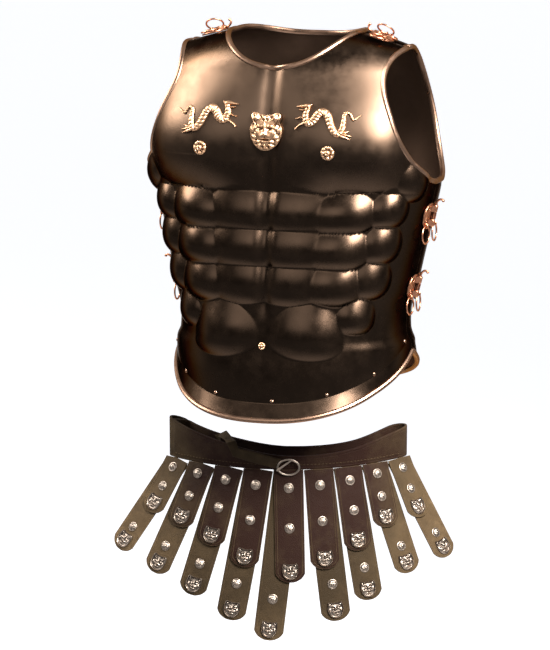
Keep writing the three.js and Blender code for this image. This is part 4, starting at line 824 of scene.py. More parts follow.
class Trunk:
    """The modelled skin: p is the angle round the body, zero in front and positive to the
    wearer's left, and s the height, 1 where the shoulders begin to close and 2 on their ridge"""

    def __init__(self, shape):
        self.shape = shape
        levels = np.array(LEVEL_SHARES) * shape.armpit_level
        self.widths = (levels, np.array(HALF_WIDTH_SHARES) * shape.chest_half_width)
        self.front_depths = (levels, np.array(FRONT_DEPTH_SHARES) * shape.chest_half_depth)
        self.back_depths = (levels, np.array(BACK_DEPTH_SHARES) * shape.chest_half_depth)
        share = shape.neck_half_width / shape.shoulder_half_width
        self.neck_angle = math.asin(share ** (1 / RING_FULLNESS))

    def level_of(self, s):
        return LOWEST_LEVEL + (self.shape.dome_level - LOWEST_LEVEL) * s

    def share_of(self, level):
        return (level - LOWEST_LEVEL) / (self.shape.dome_level - LOWEST_LEVEL)

    def ring(self, p, level):
        """A level cut through the trunk"""
        width = through(*self.widths, level)
        depth = np.where(np.cos(p) >= 0, through(*self.front_depths, level),
                         through(*self.back_depths, level))
        x = width * power(np.sin(p), RING_FULLNESS)
        y = -depth * power(np.cos(p), RING_FULLNESS)
        return np.stack([x, y, level + np.zeros_like(x)], axis=-1)

    def ridge(self, p):
        """The line along the top of the shoulders"""
        shape = self.shape
        rounding = shape.neck_half_width / 2
        x = shape.shoulder_half_width * power(np.sin(p), RING_FULLNESS)
        slope = shape.shoulder_fall / (2 * (shape.shoulder_half_width - shape.neck_half_width))
        neck = math.hypot(shape.neck_half_width, rounding)
        z = shape.neck_top_level - slope * (np.hypot(x, rounding) - neck)
        return np.stack([x, np.full_like(x, shape.ridge_back_offset), z], axis=-1)

    def base(self, p, s):
        """The trunk before its muscles, closed in a dome toward the ridge"""
        p, s = np.broadcast_arrays(np.asarray(p, float), np.asarray(s, float))
        low = self.ring(p, self.level_of(np.minimum(s, 1)))
        top = self.ridge(p)
        w = np.clip(s - 1, 0, 1) * QUARTER
        inward = (1 - np.maximum(np.cos(w), 0) ** DOME_FULLNESS)[..., None]
        upward = (np.sin(w) ** DOME_FULLNESS)[..., None]
        share = np.concatenate([inward, inward, upward], axis=-1)
        return mix(low, top, share)

    def base_normal(self, p, s):
        """The way the trunk faces, kept in the plane of the seam where the plates meet"""
        p, s = np.broadcast_arrays(np.asarray(p, float), np.asarray(s, float))
        step = NORMAL_STEP
        limit = 2 - 2 * step
        held = np.minimum(s, limit)
        around = self.base(p + step, held) - self.base(p - step, held)
        up = self.base(p, np.minimum(s + step, 2 - step)) - self.base(p, held - step)
        normal = np.cross(around, up)
        seam = (np.abs(np.cos(p)) < NEAR_ZERO) | (s > limit)
        normal[..., 1] = np.where(seam, 0, normal[..., 1])
        return unit(normal)

    def front_muscle(self, p, level):
        """Cushions that meet in sharp creases, each fullest a little below its middle"""
        shape = self.shape
        angle = np.abs(p) / DEGREE
        share = level / shape.armpit_level
        total = np.zeros_like(share)
        for at, height, half, half_height, part in FRONT_MUSCLES:
            a = np.abs((angle - at) / half)
            b = (share - height) / half_height
            b = np.abs(b + MUSCLE_LEAN * (1 - np.minimum(b * b, 1)))
            full = np.maximum(0, 1 - a ** MUSCLE_EDGE_POWER - b ** MUSCLE_EDGE_POWER)
            total = total + (part * full * full / (full + MUSCLE_SOFTNESS)) ** MUSCLE_BLEND
        rise = shape.muscle_rise * total ** (1 / MUSCLE_BLEND)
        rise = rise + shape.muscle_rise * BELLY[4] * bell(angle, share, BELLY[:2], BELLY[2:4])
        foot, crown, head = PECTORAL_LEVELS
        below = np.sin(QUARTER * np.clip((share - foot) / (crown - foot), 0, 1)) ** PECTORAL_FOOT_POWER
        above = smooth((head - share) / (head - crown))
        side = np.exp(-(np.abs(angle - PECTORAL_ANGLE) / PECTORAL_HALF_ANGLE) ** 3)
        rise = rise + shape.pectoral_rise * below * above * side
        grooved = smooth((share - GROOVE_START) / GROOVE_FADE)
        rise = rise - shape.groove_depth * grooved * np.exp(-(angle / GROOVE_HALF_ANGLE) ** 2)
        return rise * smooth((90 - angle) / FRONT_SIDE_FADE)

    def back_muscle(self, p, level):
        """Shoulder blades, loins and the hollow of the spine"""
        shape = self.shape
        angle = 180 - np.abs(p) / DEGREE
        share = level / shape.armpit_level
        blade = bell(angle, share, SHOULDER_BLADE[:2], SHOULDER_BLADE[2:])
        loin = bell(angle, share, LOIN[:2], LOIN[2:])
        spine = np.exp(-(angle / SPINE_HALF_ANGLE) ** 2) * smooth((SPINE_TOP - share) / SPINE_FADE)
        rise = shape.shoulder_blade_rise * blade + shape.muscle_rise * loin / 2 - shape.groove_depth * spine
        return rise * smooth((90 - angle) / BACK_SIDE_FADE)

    def hem_level(self, p):
        """The height of the hem round the trunk"""
        shape = self.shape
        drop = np.where(np.cos(p) >= 0, shape.hem_front_drop, shape.hem_back_drop)
        return -mix(shape.hem_side_drop, drop, np.abs(np.cos(p)) ** HEM_POWER)

    def flange_rise(self, p, level):
        """How far the flange stands out"""
        shape = self.shape
        above = level - self.hem_level(p)
        flare = shape.flange_flare * mix(SIDE_FLARE_SHARE, 1, np.abs(np.cos(p)))
        return flare * np.clip(1 - above / shape.flange_width, 0, 1)

    def skin(self, p, s):
        """Points half way through the sheet, and the way it faces"""
        p, s = np.broadcast_arrays(np.asarray(p, float), np.asarray(s, float))
        base = self.base(p, s)
        normal = self.base_normal(p, s)
        level = base[..., 2]
        rise = np.where(np.cos(p) >= 0, self.front_muscle(p, level), self.back_muscle(p, level))
        rise = rise + self.flange_rise(p, level)
        return base + normal * rise[..., None], normal

    def side_limit(self, s, front):
        """How far round the sheet goes at each height, to the seam or to the armhole"""
        shape = self.shape
        s = np.asarray(s, float)
        foot = shape.armpit_level + shape.armhole_lift

        def on_sheet(p):
            point = self.base(p if front else math.pi - p, s)
            dy = point[..., 1] - shape.armhole_back_offset
            dz = point[..., 2] - foot - shape.armhole_radius
            edge = np.where((dz > 0) & (dy < 0), ARMHOLE_SHOULDER_POWER, ARMHOLE_ROUND_POWER)
            reach = np.where(dy < 0, shape.armhole_front_reach, shape.armhole_back_reach)
            return np.abs(dy / reach) ** edge + np.abs(dz / shape.armhole_radius) ** edge >= 1

        limit = halved(on_sheet, np.zeros_like(s), np.full_like(s, QUARTER))
        return np.where(s < self.share_of(foot + shape.plate_gap), QUARTER, limit)

    def neck_share(self, front):
        """The share where the neckline is lowest"""
        shape = self.shape
        level = shape.neck_top_level - (shape.neck_drop if front else shape.back_neck_drop)
        middle = 0.0 if front else math.pi
        return float(halved(lambda s: self.base(middle, s)[..., 2] < level, 1.0, 2.0))

    def share_at_level(self, level):
        level = np.asarray(level, float)
        above_dome = halved(lambda s: self.base(DOME_READING_ANGLE, s)[..., 2] < level,
                            np.ones_like(level), np.full_like(level, 2.0))
        return np.where(level <= self.shape.dome_level, self.share_of(level), above_dome)

    def place_at(self, x, level):
        """The outer face of the front at offsets and levels: points, normals, p and s"""
        shape = self.shape
        x, level = np.broadcast_arrays(np.asarray(x, float), np.asarray(level, float))
        s = self.share_at_level(level)
        angle = halved(lambda p: self.base(p, s)[..., 0] < np.abs(x),
                       np.zeros_like(s), np.full_like(s, QUARTER))
        p = np.copysign(angle, x)
        point, normal = self.skin(p, s)
        point = point + normal * shape.sheet_thickness / 2
        point[..., 1] -= shape.plate_gap / 2
        return point, normal, p, s

    def facing(self, p, s, reach):
        """The way the modelled skin faces, taken across a span of it"""
        turn = reach / self.shape.chest_half_width
        lift = reach / (self.shape.dome_level - LOWEST_LEVEL)
        around = self.skin(p + turn, s)[0] - self.skin(p - turn, s)[0]
        up = self.skin(p, s + lift)[0] - self.skin(p, s - lift)[0]
        return unit(np.cross(around, up))


def sheet_rows(trunk, rows):
    """Shares up a sheet, close together at its crease and at the foot of its armholes, and the
    share at its crease"""
    shape = trunk.shape
    crease = FLANGE_ROWS_HEIGHT / (shape.neck_top_level + shape.hem_front_drop)
    hem_side = trunk.share_of(-shape.hem_side_drop)
    side_foot = hem_side + trunk.share_of(shape.flange_width) - trunk.share_of(0)
    armhole = trunk.share_of(shape.armpit_level + shape.armhole_lift)
    armhole = mix(crease, 1, (armhole - side_foot) / (2 - side_foot))
    beside = np.array(ARMHOLE_FOOT_ROWS) / (shape.dome_level - LOWEST_LEVEL) / (2 - hem_side) * (1 - crease)
    v = np.concatenate([
        np.linspace(0, crease, 9)[:-1], [crease * 0.96, crease, crease * 1.04],
        np.linspace(crease, 1, rows)[1:], armhole + beside])
    return np.unique(np.round(v, 6)), crease


def plate_sheet(trunk, front, columns, rows):
    """The beaten sheet of one half, and the lines along which its rims are rolled"""
    shape = trunk.shape
    v, crease_share = sheet_rows(trunk, rows)
    neck_u = trunk.neck_angle / float(trunk.side_limit(2.0, front))
    u = np.unique(np.concatenate([
        np.linspace(-1, 1, columns), [-0.997, 0.997, -0.99, 0.99, -neck_u, neck_u, 0]]))
    uu, vv = np.meshgrid(u, v)
    hem = trunk.share_of(trunk.hem_level(uu * QUARTER if front else math.pi - uu * QUARTER))
    crease = hem + trunk.share_of(shape.flange_width) - trunk.share_of(0)
    bow = np.maximum(0, 1 - (uu / neck_u) ** 2) ** NECK_BOW_POWER
    top = np.where(np.abs(uu) < neck_u, 2 - (2 - trunk.neck_share(front)) * bow, 2)
    s = np.where(vv <= crease_share, mix(hem, crease, vv / crease_share),
                 mix(crease, top, (vv - crease_share) / (1 - crease_share)))
    limit = trunk.side_limit(s[:, -1], front)[:, None]
    p = uu * limit if front else math.pi - uu * limit
    points, normals = trunk.skin(p, s)
    seam = -shape.plate_gap / 2 if front else shape.plate_gap / 2
    points[..., 1] += seam
    outer = points + normals * shape.sheet_thickness / 2
    inner = points - normals * shape.sheet_thickness / 2
    rows, columns = uu.shape
    count = rows * columns
    faces = [grid_faces(rows, columns), grid_faces(rows, columns, flip=True) + count]
    border = np.concatenate([
        np.arange(columns), np.arange(1, rows) * columns + columns - 1,
        (rows - 1) * columns + np.arange(columns - 2, -1, -1), np.arange(rows - 2, 0, -1) * columns])
    after = np.roll(border, -1)
    faces.append(np.stack([border, border + count, after + count, after], axis=1))
    slots = [0] * len(faces[0]) + [2] * len(faces[1]) + [1] * len(faces[2])
    sheet = (np.concatenate([outer.reshape(-1, 3), inner.reshape(-1, 3)]), np.concatenate(faces))

    middle = points[rows // 2, columns // 2]
    cut = np.flatnonzero(limit[:, 0] < QUARTER - 1e-4)
    rims = []
    for column in (0, -1):
        line, facing = points[cut, column], normals[cut, column]
        start = points[cut[0], column].copy()
        start[1] = seam
        start[0] = math.copysign(abs(points[cut[0] - 1, column][0]), start[0])
        rims.append((np.vstack([start, line]), np.vstack([facing[:1], facing]),
                     points[cut[0] - 3, columns // 2]))
    on_neck = np.flatnonzero(np.abs(u) <= neck_u + 1e-6)
    rims.append((points[-1, on_neck], normals[-1, on_neck], middle))
    rims.append((points[0], normals[0], middle))
    return sheet, slots, rims


def rolled_rim(line, facing, middle, radius):
    """A bead rolled along an edge, lying just inside it"""
    step = np.linalg.norm(np.diff(line, axis=0), axis=1)
    length = np.concatenate([[0], np.cumsum(step)])
    keep = np.concatenate([[True], step > 1e-5])
    line, facing, length = line[keep], facing[keep], length[keep]
    even = np.linspace(0, length[-1], max(12, int(length[-1] / 0.004)))
    line = np.stack([np.interp(even, length, line[:, k]) for k in range(3)], axis=1)
    facing = np.stack([np.interp(even, length, facing[:, k]) for k in range(3)], axis=1)
    along = np.gradient(line, axis=0)
    inward = unit(np.cross(facing, along))
    if np.mean(np.sum(inward * (middle - line), axis=1)) < 0:
        inward = -inward
    return tube(line + inward * radius * 0.8, radius, 10)


def rivet(point, normal, radius):
    """A low domed head on the sheet"""
    turn = Vector((0, 0, 1)).rotation_difference(Vector(normal)).to_matrix().to_4x4()
    profile = [(radius * math.cos(t), RIVET_RISE * math.sin(t)) for t in np.linspace(-0.3, 1.5, 7)]
    return placed(turned(profile, 14), Matrix.Translation(Vector(point)) @ turn)


class CUIRASS_OT_plates(Operator):
    """Beats the front and back plates with their muscles, flange, rolled rims and rivets"""

    bl_idname = "cuirass.plates"
    bl_label = "Plates"

    def execute(self, context):
        shape = settings("shape")
        trunk = Trunk(shape)
        materials = [finish("patinated_bronze"), finish("rubbed_rim"), finish("beaten_inside")]
        for front, grid, name, node, body in (
                (True, FRONT_GRID, "muscled_front", "breastplate", "front"),
                (False, BACK_GRID, "modelled_back", "backplate", "back")):
            sheet, slots, rims = plate_sheet(trunk, front, *grid)
            parts = [(sheet, slots)] + [(rolled_rim(*rim, shape.rim_radius), 1) for rim in rims]
            if front:
                parts += [(self.flange_rivet(trunk, k), 1) for k in range(RIVETS)]
            dress(name, parts, materials, body, node, 32)
        return {"FINISHED"}

    def flange_rivet(self, trunk, k):
        """One of the rivets just above the flange"""
        shape = trunk.shape
        p = (FIRST_RIVET_ANGLE + RIVET_STEP_ANGLE * k) * DEGREE
        level = float(trunk.hem_level(p)) + shape.flange_width + shape.rivet_radius
        point, normal = trunk.skin(p, trunk.share_of(level))
        return rivet(point + normal * shape.sheet_thickness / 2, normal, shape.rivet_radius)


# Ornaments on the chest

DRAGON_BODY = (
    (0.31, 0.36), (0.335, 0.14), (0.31, -0.03), (0.25, -0.05), (0.19, 0.04), (0.137, 0.2), (0.06, 0.29),
    (-0.02, 0.17), (-0.06, -0.04), (-0.11, -0.24), (-0.176, -0.33), (-0.235, -0.22), (-0.255, 0.04),
    (-0.26, 0.24), (-0.304, 0.34), (-0.353, 0.28), (-0.392, 0.14), (-0.44, 0.2), (-0.5, 0.3),
)
DRAGON_BODY_GIRTHS = (0.16, 0.21, 0.25, 0.26, 0.26, 0.25, 0.25, 0.25, 0.24, 0.23, 0.22, 0.19, 0.15,
                      0.12, 0.1, 0.09, 0.08, 0.06, 0.03)
DRAGON_RIBS = 34
DRAGON_LIMB_RISE_SHARE = 0.85
DRAGON_STROKES = (
    (((0.285, 0.33), (0.30, 0.43), (0.37, 0.42), (0.49, 0.385)), (0.07, 0.14, 0.11, 0.03)),
    (((0.34, 0.30), (0.40, 0.30), (0.45, 0.305)), (0.05, 0.06, 0.02)),
    (((0.28, 0.40), (0.255, 0.47), (0.24, 0.5)), (0.06, 0.05, 0.02)),
    (((0.33, 0.02), (0.40, 0.08), (0.44, 0.05), (0.49, 0.03)), (0.08, 0.055, 0.045, 0.05)),
    (((0.33, -0.06), (0.40, -0.13), (0.45, -0.2), (0.485, -0.28)), (0.09, 0.06, 0.045, 0.055)),
    (((-0.15, -0.32), (-0.25, -0.40), (-0.363, -0.48)), (0.07, 0.1, 0.02)),
    (((-0.2, -0.28), (-0.28, -0.28), (-0.34, -0.22)), (0.06, 0.08, 0.02)),
    (((-0.2, -0.3), (-0.3, -0.35), (-0.38, -0.38)), (0.06, 0.08, 0.02)),
)

LION_OUTLINE = (
    (0, 0.44), (0.1, 0.46), (0.2, 0.46), (0.28, 0.5), (0.38, 0.51), (0.46, 0.45), (0.46, 0.34),
    (0.42, 0.25), (0.46, 0.19), (0.5, 0.07), (0.49, -0.08), (0.44, -0.22), (0.35, -0.34), (0.22, -0.44),
    (0.1, -0.49), (0, -0.5),
)
# Muzzle, nose, brows, eyes, cheeks, lip, mouth, chin and the crease between the brows: height
# share, centre and spread
LION_FEATURES = (
    (0.2, (0.11, -0.12), (0.1, 0.075)), (0.24, (0, 0.02), (0.05, 0.16)), (0.16, (0, -0.06), (0.085, 0.035)),
    (0.24, (0.16, 0.15), (0.1, 0.035)), (-0.34, (0.15, 0.075), (0.055, 0.032)),
    (0.16, (0.15, 0.075), (0.025, 0.018)), (0.14, (0.23, -0.02), (0.06, 0.08)),
    (-0.2, (0, -0.16), (0.012, 0.05)), (-0.38, (0.02, -0.215), (0.12, 0.018)),
    (0.14, (0, -0.265), (0.09, 0.03)), (-0.14, (0, 0.22), (0.016, 0.07)),
)
LION_EARS = ((0.26, (0.37, 0.41), (0.1, 0.085)), (-0.36, (0.37, 0.41), (0.05, 0.045)))
LION_RISE_SHARE = 0.94
ROSETTE_PROFILE = ((1, 0), (1, 0.2), (0.94, 0.38), (0.84, 0.5), (0.72, 0.52), (0.6, 0.44), (0.5, 0.36),
                   (0.44, 0.5), (0.4, 0.8), (0.3, 0.96), (0.16, 1.0), (0.1, 0.86), (0.02, 0.84))
ROSETTE_RISE = 0.006
ROSETTE_OFFSET = 0.088
ROSETTE_LEVEL = 0.260
NAVEL_RADIUS = 0.005
NAVEL_RISE = 0.004
NAVEL_LEVEL = -0.008


def stroke(points, radii, rise, count, ribs=0):
    """A tapering bar with a flat back along a smooth line, ribbed across if asked"""
    line = catmull([(x, y, 0) for x, y in points], count)
    share = np.linspace(0, 1, count)
    radius = np.interp(share * (len(radii) - 1), np.arange(len(radii)), radii)
    along = unit(np.gradient(line, axis=0))
    across = np.stack([-along[:, 1], along[:, 0], np.zeros(count)], axis=1)
    turn = np.linspace(0, math.pi, 11)
    rings = line[:, None, :] + radius[:, None, None] * np.cos(turn)[None, :, None] * across[:, None, :]
    lift = rise * np.minimum(1, np.sqrt(radius / max(radii)))
    scale = 1 - 0.3 * np.abs(np.sin(math.pi * ribs * share[:, None] + 1.2 * np.cos(turn)[None, :])) ** 4
    rings[:, :, 2] = lift[:, None] * np.sin(turn)[None, :] * (scale if ribs else 1)
    return loft(rings)


def laid_on_chest(trunk, part, centre, level, clearance):
    """A flat part bent over the front of the trunk"""
    points, faces = part
    at, normal, _, _ = trunk.place_at(centre + points[:, 0], level + points[:, 1])
    return at + normal * (clearance + points[:, 2:3]), faces


def seat_matrix(point, normal):
    """A place whose z axis is the normal and whose y axis points up"""
    z = Vector(normal).normalized()
    x = Vector((0, 0, 1)).cross(z).normalized()
    return axes_at(point, x, z.cross(x), z)


def lion_height(x, y, t):
    """The modelled face over shares of width and height, 1 at its tip"""
    left = np.abs(x)
    turn = np.arctan2(left, -(y + 0.02))
    height = 0.16 + 0.34 * (1 - t ** 3)
    tufts = smooth((t - 0.58) / 0.1)
    curls = np.cos(10 * turn + 9 * t) * 0.6 + np.cos(15 * turn - 16 * t) * 0.4
    height = height + 0.2 * tufts * curls * smooth((1 - t) / 0.12)
    face = 1 - smooth((t - 0.5) / 0.14)
    return height + face * bumps(left, y, LION_FEATURES) + bumps(left, y, LION_EARS)


class CUIRASS_OT_ornaments(Operator):
    """Models the lion mask, the two sea-dragons, the rosettes and the navel stud"""

    bl_idname = "cuirass.ornaments"
    bl_label = "Ornaments"

    def execute(self, context):
        fitting = settings("fitting")
        trunk = Trunk(settings("shape"))
        gilt = [finish("rubbed_gilt")]

        for word, side in (("left", 1), ("right", -1)):
            length, height = fitting.dragon_length, fitting.dragon_height

            def drawn(points):
                return [(-side * x * length, y * height) for x, y in points]

            def girths(shares):
                return [share * height / 2 for share in shares]

            parts = [stroke(drawn(DRAGON_BODY), girths(DRAGON_BODY_GIRTHS), fitting.dragon_rise, 240,
                            DRAGON_RIBS)]
            for points, shares in DRAGON_STROKES:
                parts.append(stroke(drawn(points), girths(shares),
                                    fitting.dragon_rise * DRAGON_LIMB_RISE_SHARE, 16))
            seated = [(laid_on_chest(trunk, part, side * fitting.dragon_offset, fitting.dragon_level,
                                     fitting.seat_clearance), 0) for part in parts]
            dress("sea_dragon_relief_" + word, seated, gilt, "front",
                  "sea_dragon_" + word, 50)

        self.seated_lion(trunk, fitting, gilt)
        for word, side in (("left", 1), ("right", -1)):
            self.seated_rosette(trunk, "rosette_" + word, fitting.rosette_radius, ROSETTE_RISE,
                                side * ROSETTE_OFFSET, ROSETTE_LEVEL, gilt, fitting)
        self.seated_rosette(trunk, "navel_stud", NAVEL_RADIUS, NAVEL_RISE, NEAR_ZERO, NAVEL_LEVEL, gilt,
                            fitting)
        return {"FINISHED"}

    def seated_lion(self, trunk, fitting, materials):
        """The mask leans with the chest and rests on the highest places under it"""
        width, height = fitting.lion_width, fitting.lion_height
        points, faces = relief(mirrored(catmull(LION_OUTLINE, 61)), lion_height,
                               np.concatenate([np.linspace(1, 0.5, 22), np.linspace(0.48, 0.01, 22)]), 0.0)
        points = points * (width, height, fitting.lion_rise * LION_RISE_SHARE)
        places = [trunk.place_at(x, fitting.lion_level + y)[0]
                  for x in np.linspace(-width / 2, width / 2, 5) + NEAR_ZERO
                  for y in (-height / 2, 0, height / 2)]
        up = places[2] - places[0]
        up[0] = 0
        up = unit(up)
        out = np.array([0, -up[2], up[1]])
        reach = max(place.dot(out) for place in places)
        centre = trunk.place_at(NEAR_ZERO, fitting.lion_level)[0]
        centre = centre + out * (reach + fitting.seat_clearance - centre.dot(out))
        matrix = axes_at(centre, Vector((1, 0, 0)), Vector(up), Vector(out))
        dress("lion_mask_relief", all_placed([(points, faces)], matrix), materials, "front",
              "lion_mask", 60)

    def seated_rosette(self, trunk, node, radius, rise, x, level, materials, fitting):
        """A rosette standing square on the skin"""
        point, _, p, s = trunk.place_at(x, level)
        facing = trunk.facing(p, s, radius)
        profile = [(a * radius, b * rise) for a, b in ROSETTE_PROFILE]
        rosette = turned(profile, 48, 8, 0.45, (radius * 0.46, radius * 0.98))
        matrix = seat_matrix(point + facing * fitting.seat_clearance * 2, facing)
        dress(node + "_relief", all_placed([rosette], matrix), materials, "front",
              node, 50)


# Closures

LEAF_OUTLINE = ((0, 1), (0.35, 0.98), (0.72, 0.78), (0.94, 0.42), (1, 0))
PIN_HOOK = ((0, 0), (0.3, 0.12), (0.57, 0.37), (0.67, 0.73), (0.57, 1))
SWING_FOOT = (-0.1715, -0.028)
SWING_TOP = (-0.2085, 0.208)
SIDE_LEVELS = (("upper", 0.166), ("lower", 0.066))
SIDE_STANDOFF = 0.007
SHOULDER_STANDOFF = 0.0064
SHOULDER_OFFSET = 0.124
SEARCH_STEP = 0.002
LUG_LIFT = 0.0021
SIDE_LUG_SHARES = (0.12, 0.8)
SHOULDER_LUG_SHARE = 0.28
STANDING_RING_ANGLE = 38
LUG_RADIUS = 0.00275
LUG_WIRE = 0.00085
KNUCKLE_GAP = 0.001
KNUCKLE_BEVEL = 0.0004
PIN_CLEARANCE = 0.0003
PIN_TAIL = 0.003
PIN_HOOK_REACH = 0.009
PIN_KNOB_RADIUS = 0.0021
PIN_KNOB_PLACE = (0, -0.0003, -0.0006)
LEAF_BEVEL = 0.0006
LEAF_EYE_SHARES = (0.42, 0.56, 0.15)
LEAF_RIM_WIRE = 0.0007
LEAF_SCROLL_WIRE = 0.0009
LEAF_RAY_WIRES = (0.0006, 0.0011, 0.0006)
LEAF_KNOB = (0.0024, 0.0024, 0.0016)
LEAF_SINKS = {"rim": 0.0005, "scroll": 0.0006, "ray": 0.0005, "knob": 0.0009}
UNDER_ANGLE_STEP = 2 * DEGREE
UNDER_SHARE_STEP = 0.012


def closure_frame(centre, axis, outward):
    """A place whose y axis runs along a pin and whose z axis points away from the trunk"""
    y = Vector(axis).normalized()
    outward = Vector(outward)
    z = (outward - y * outward.dot(y)).normalized()
    return axes_at(centre, y.cross(z), y, z)


def leaf_place(trunk, fitting, centre, across, kind):
    """Where a leaf sits on its plate: outer point, normal, p and s"""
    shape = trunk.shape
    distance = fitting.leaf_inset + fitting.leaf_reach / 2
    side = math.copysign(1, centre[0])
    front = across * side < 0
    if kind == "side":
        p, s = QUARTER, trunk.share_of(centre[2])
        while abs(trunk.skin(p, s)[0][1]) < distance:
            p += -SEARCH_STEP if front else SEARCH_STEP
        p *= side
    else:
        angle = 0.0
        while trunk.ridge(np.float64(angle))[0] < abs(centre[0]):
            angle += SEARCH_STEP
        s, p = 2.0, side * (angle if front else math.pi - angle)
        while abs(trunk.skin(p, s)[0][1] - shape.ridge_back_offset) < distance:
            s -= SEARCH_STEP
    point, normal = trunk.skin(p, s)
    return point + normal * shape.sheet_thickness / 2, normal, p, s


def reach_under(trunk, seat, half_x, half_y, p, s):
    """How far the skin under a flat back reaches above the plane of that back"""
    to_seat = np.array(seat.inverted())
    angles = p + np.arange(-8, 9) * UNDER_ANGLE_STEP
    shares = np.minimum(s + np.arange(-8, 9) * UNDER_SHARE_STEP, 2)
    pp, ss = np.meshgrid(angles, shares)
    points, normals = trunk.skin(pp, ss)
    points = (points + normals * trunk.shape.sheet_thickness / 2).reshape(-1, 3)
    local = points @ to_seat[:3, :3].T + to_seat[:3, 3]
    under = (np.abs(local[:, 0]) < half_x) & (np.abs(local[:, 1]) < half_y)
    return max(0.0, float(local[under, 2].max())) if under.any() else 0.0


def circle(centre, radius, steps):
    turn = np.linspace(0, 2 * math.pi, steps, endpoint=False)
    return [(centre[0] + radius * math.cos(t), centre[1] + radius * math.sin(t)) for t in turn]


def hollow_barrel(outer, inner, low, high, mouth):
    """A knuckle; mouth is 0, or the side toward which half of it is open"""
    if mouth:
        turn = np.linspace(QUARTER, 3 * QUARTER, 18) + (math.pi if mouth > 0 else 0)
    else:
        turn = np.linspace(0, 2 * math.pi, 28, endpoint=False)
    bevel = KNUCKLE_BEVEL
    profile = [(outer - bevel, low), (outer, low + bevel), (outer, high - bevel), (outer - bevel, high),
               (inner, high), (inner, low)]
    rings = [[(radius * math.cos(t), y, radius * math.sin(t)) for radius, y in profile] for t in turn]
    return loft(rings, not mouth)


def prism_along_y(outline, low, high):
    """An outline in x and z drawn out along the pin"""
    return loft([[(x, y, z) for x, z in outline] for y in (low, high)])


def scroll(centre, size, wire, hand, z):
    """A spiral of tapering wire lying on a leaf"""
    t = np.linspace(0, 1, 44)
    turn = hand * (0.5 + t * 2.6 * math.pi) + math.pi / 2
    radius = size * (1 - 0.82 * t)
    path = np.stack([centre[0] + radius * np.cos(turn), centre[1] + radius * np.sin(turn),
                     np.full_like(t, z)], axis=1)
    return tube(path, wire * (1 - 0.35 * t), 8)


def leaf_parts(fitting, direction, bands, seat, open_mouth):
    """The scrolled plaque, its knuckles and the roots that join them, in the closure's frame"""
    half, reach = fitting.leaf_length / 2, fitting.leaf_reach
    start = -reach / 2
    thick = fitting.leaf_thickness
    upper = catmull([(start + a * reach, b * half) for a, b in LEAF_OUTLINE], 22)
    lower = upper[:-1][::-1] * (1, -1)
    outline = np.vstack([upper, lower]) * (direction, 1)
    eye_along, eye_aside, eye_radius = LEAF_EYE_SHARES
    eyes = [(direction * (start + reach * eye_along), end * half * eye_aside) for end in (1, -1)]
    outlines = [outline.tolist()] + [circle(eye, reach * eye_radius, 16) for eye in eyes]
    flat = [plaque(outlines, thick, LEAF_BEVEL)]
    tops = {name: thick - sink for name, sink in LEAF_SINKS.items()}
    rim = np.column_stack([outline * 0.93, np.full(len(outline), tops["rim"])])
    flat.append(tube(rim, LEAF_RIM_WIRE, 8, True))
    for eye, hand in zip(eyes, (1, -1)):
        flat.append(scroll(eye, reach * 0.26, LEAF_SCROLL_WIRE, hand * direction, tops["scroll"]))
    for t in np.linspace(-0.9, 0.9, 5):
        tip = (direction * (start + reach * (0.55 + 0.36 * math.cos(t))), half * 0.3 * math.sin(t) * 1.5)
        root = (direction * (start + reach * eye_along), 0.0)
        line = [(mix(root[0], tip[0], f), mix(root[1], tip[1], f), tops["ray"]) for f in (0, 0.5, 1)]
        flat.append(tube(line, LEAF_RAY_WIRES, 8))
    flat.append(ball((direction * (start + reach * 0.40), 0, tops["knob"]), LEAF_KNOB))
    parts = [placed(part, seat) for part in flat]
    barrel = fitting.barrel_radius
    bore = fitting.pin_radius + PIN_CLEARANCE
    inner_x = direction * (thick - reach / 2)
    top = seat @ Vector((inner_x, 0, thick * 0.92))
    foot = seat @ Vector((inner_x, 0, thick * 0.1))
    root = [(direction * barrel * 0.75, barrel * 0.62), (top.x, top.z), (foot.x, foot.z),
            (direction * barrel * 0.78, -barrel * 0.55)]
    for low, high in bands:
        parts.append(hollow_barrel(barrel, bore, low, high, direction if open_mouth else 0))
        parts.append(prism_along_y(root, low + KNUCKLE_BEVEL, high - KNUCKLE_BEVEL))
    return parts


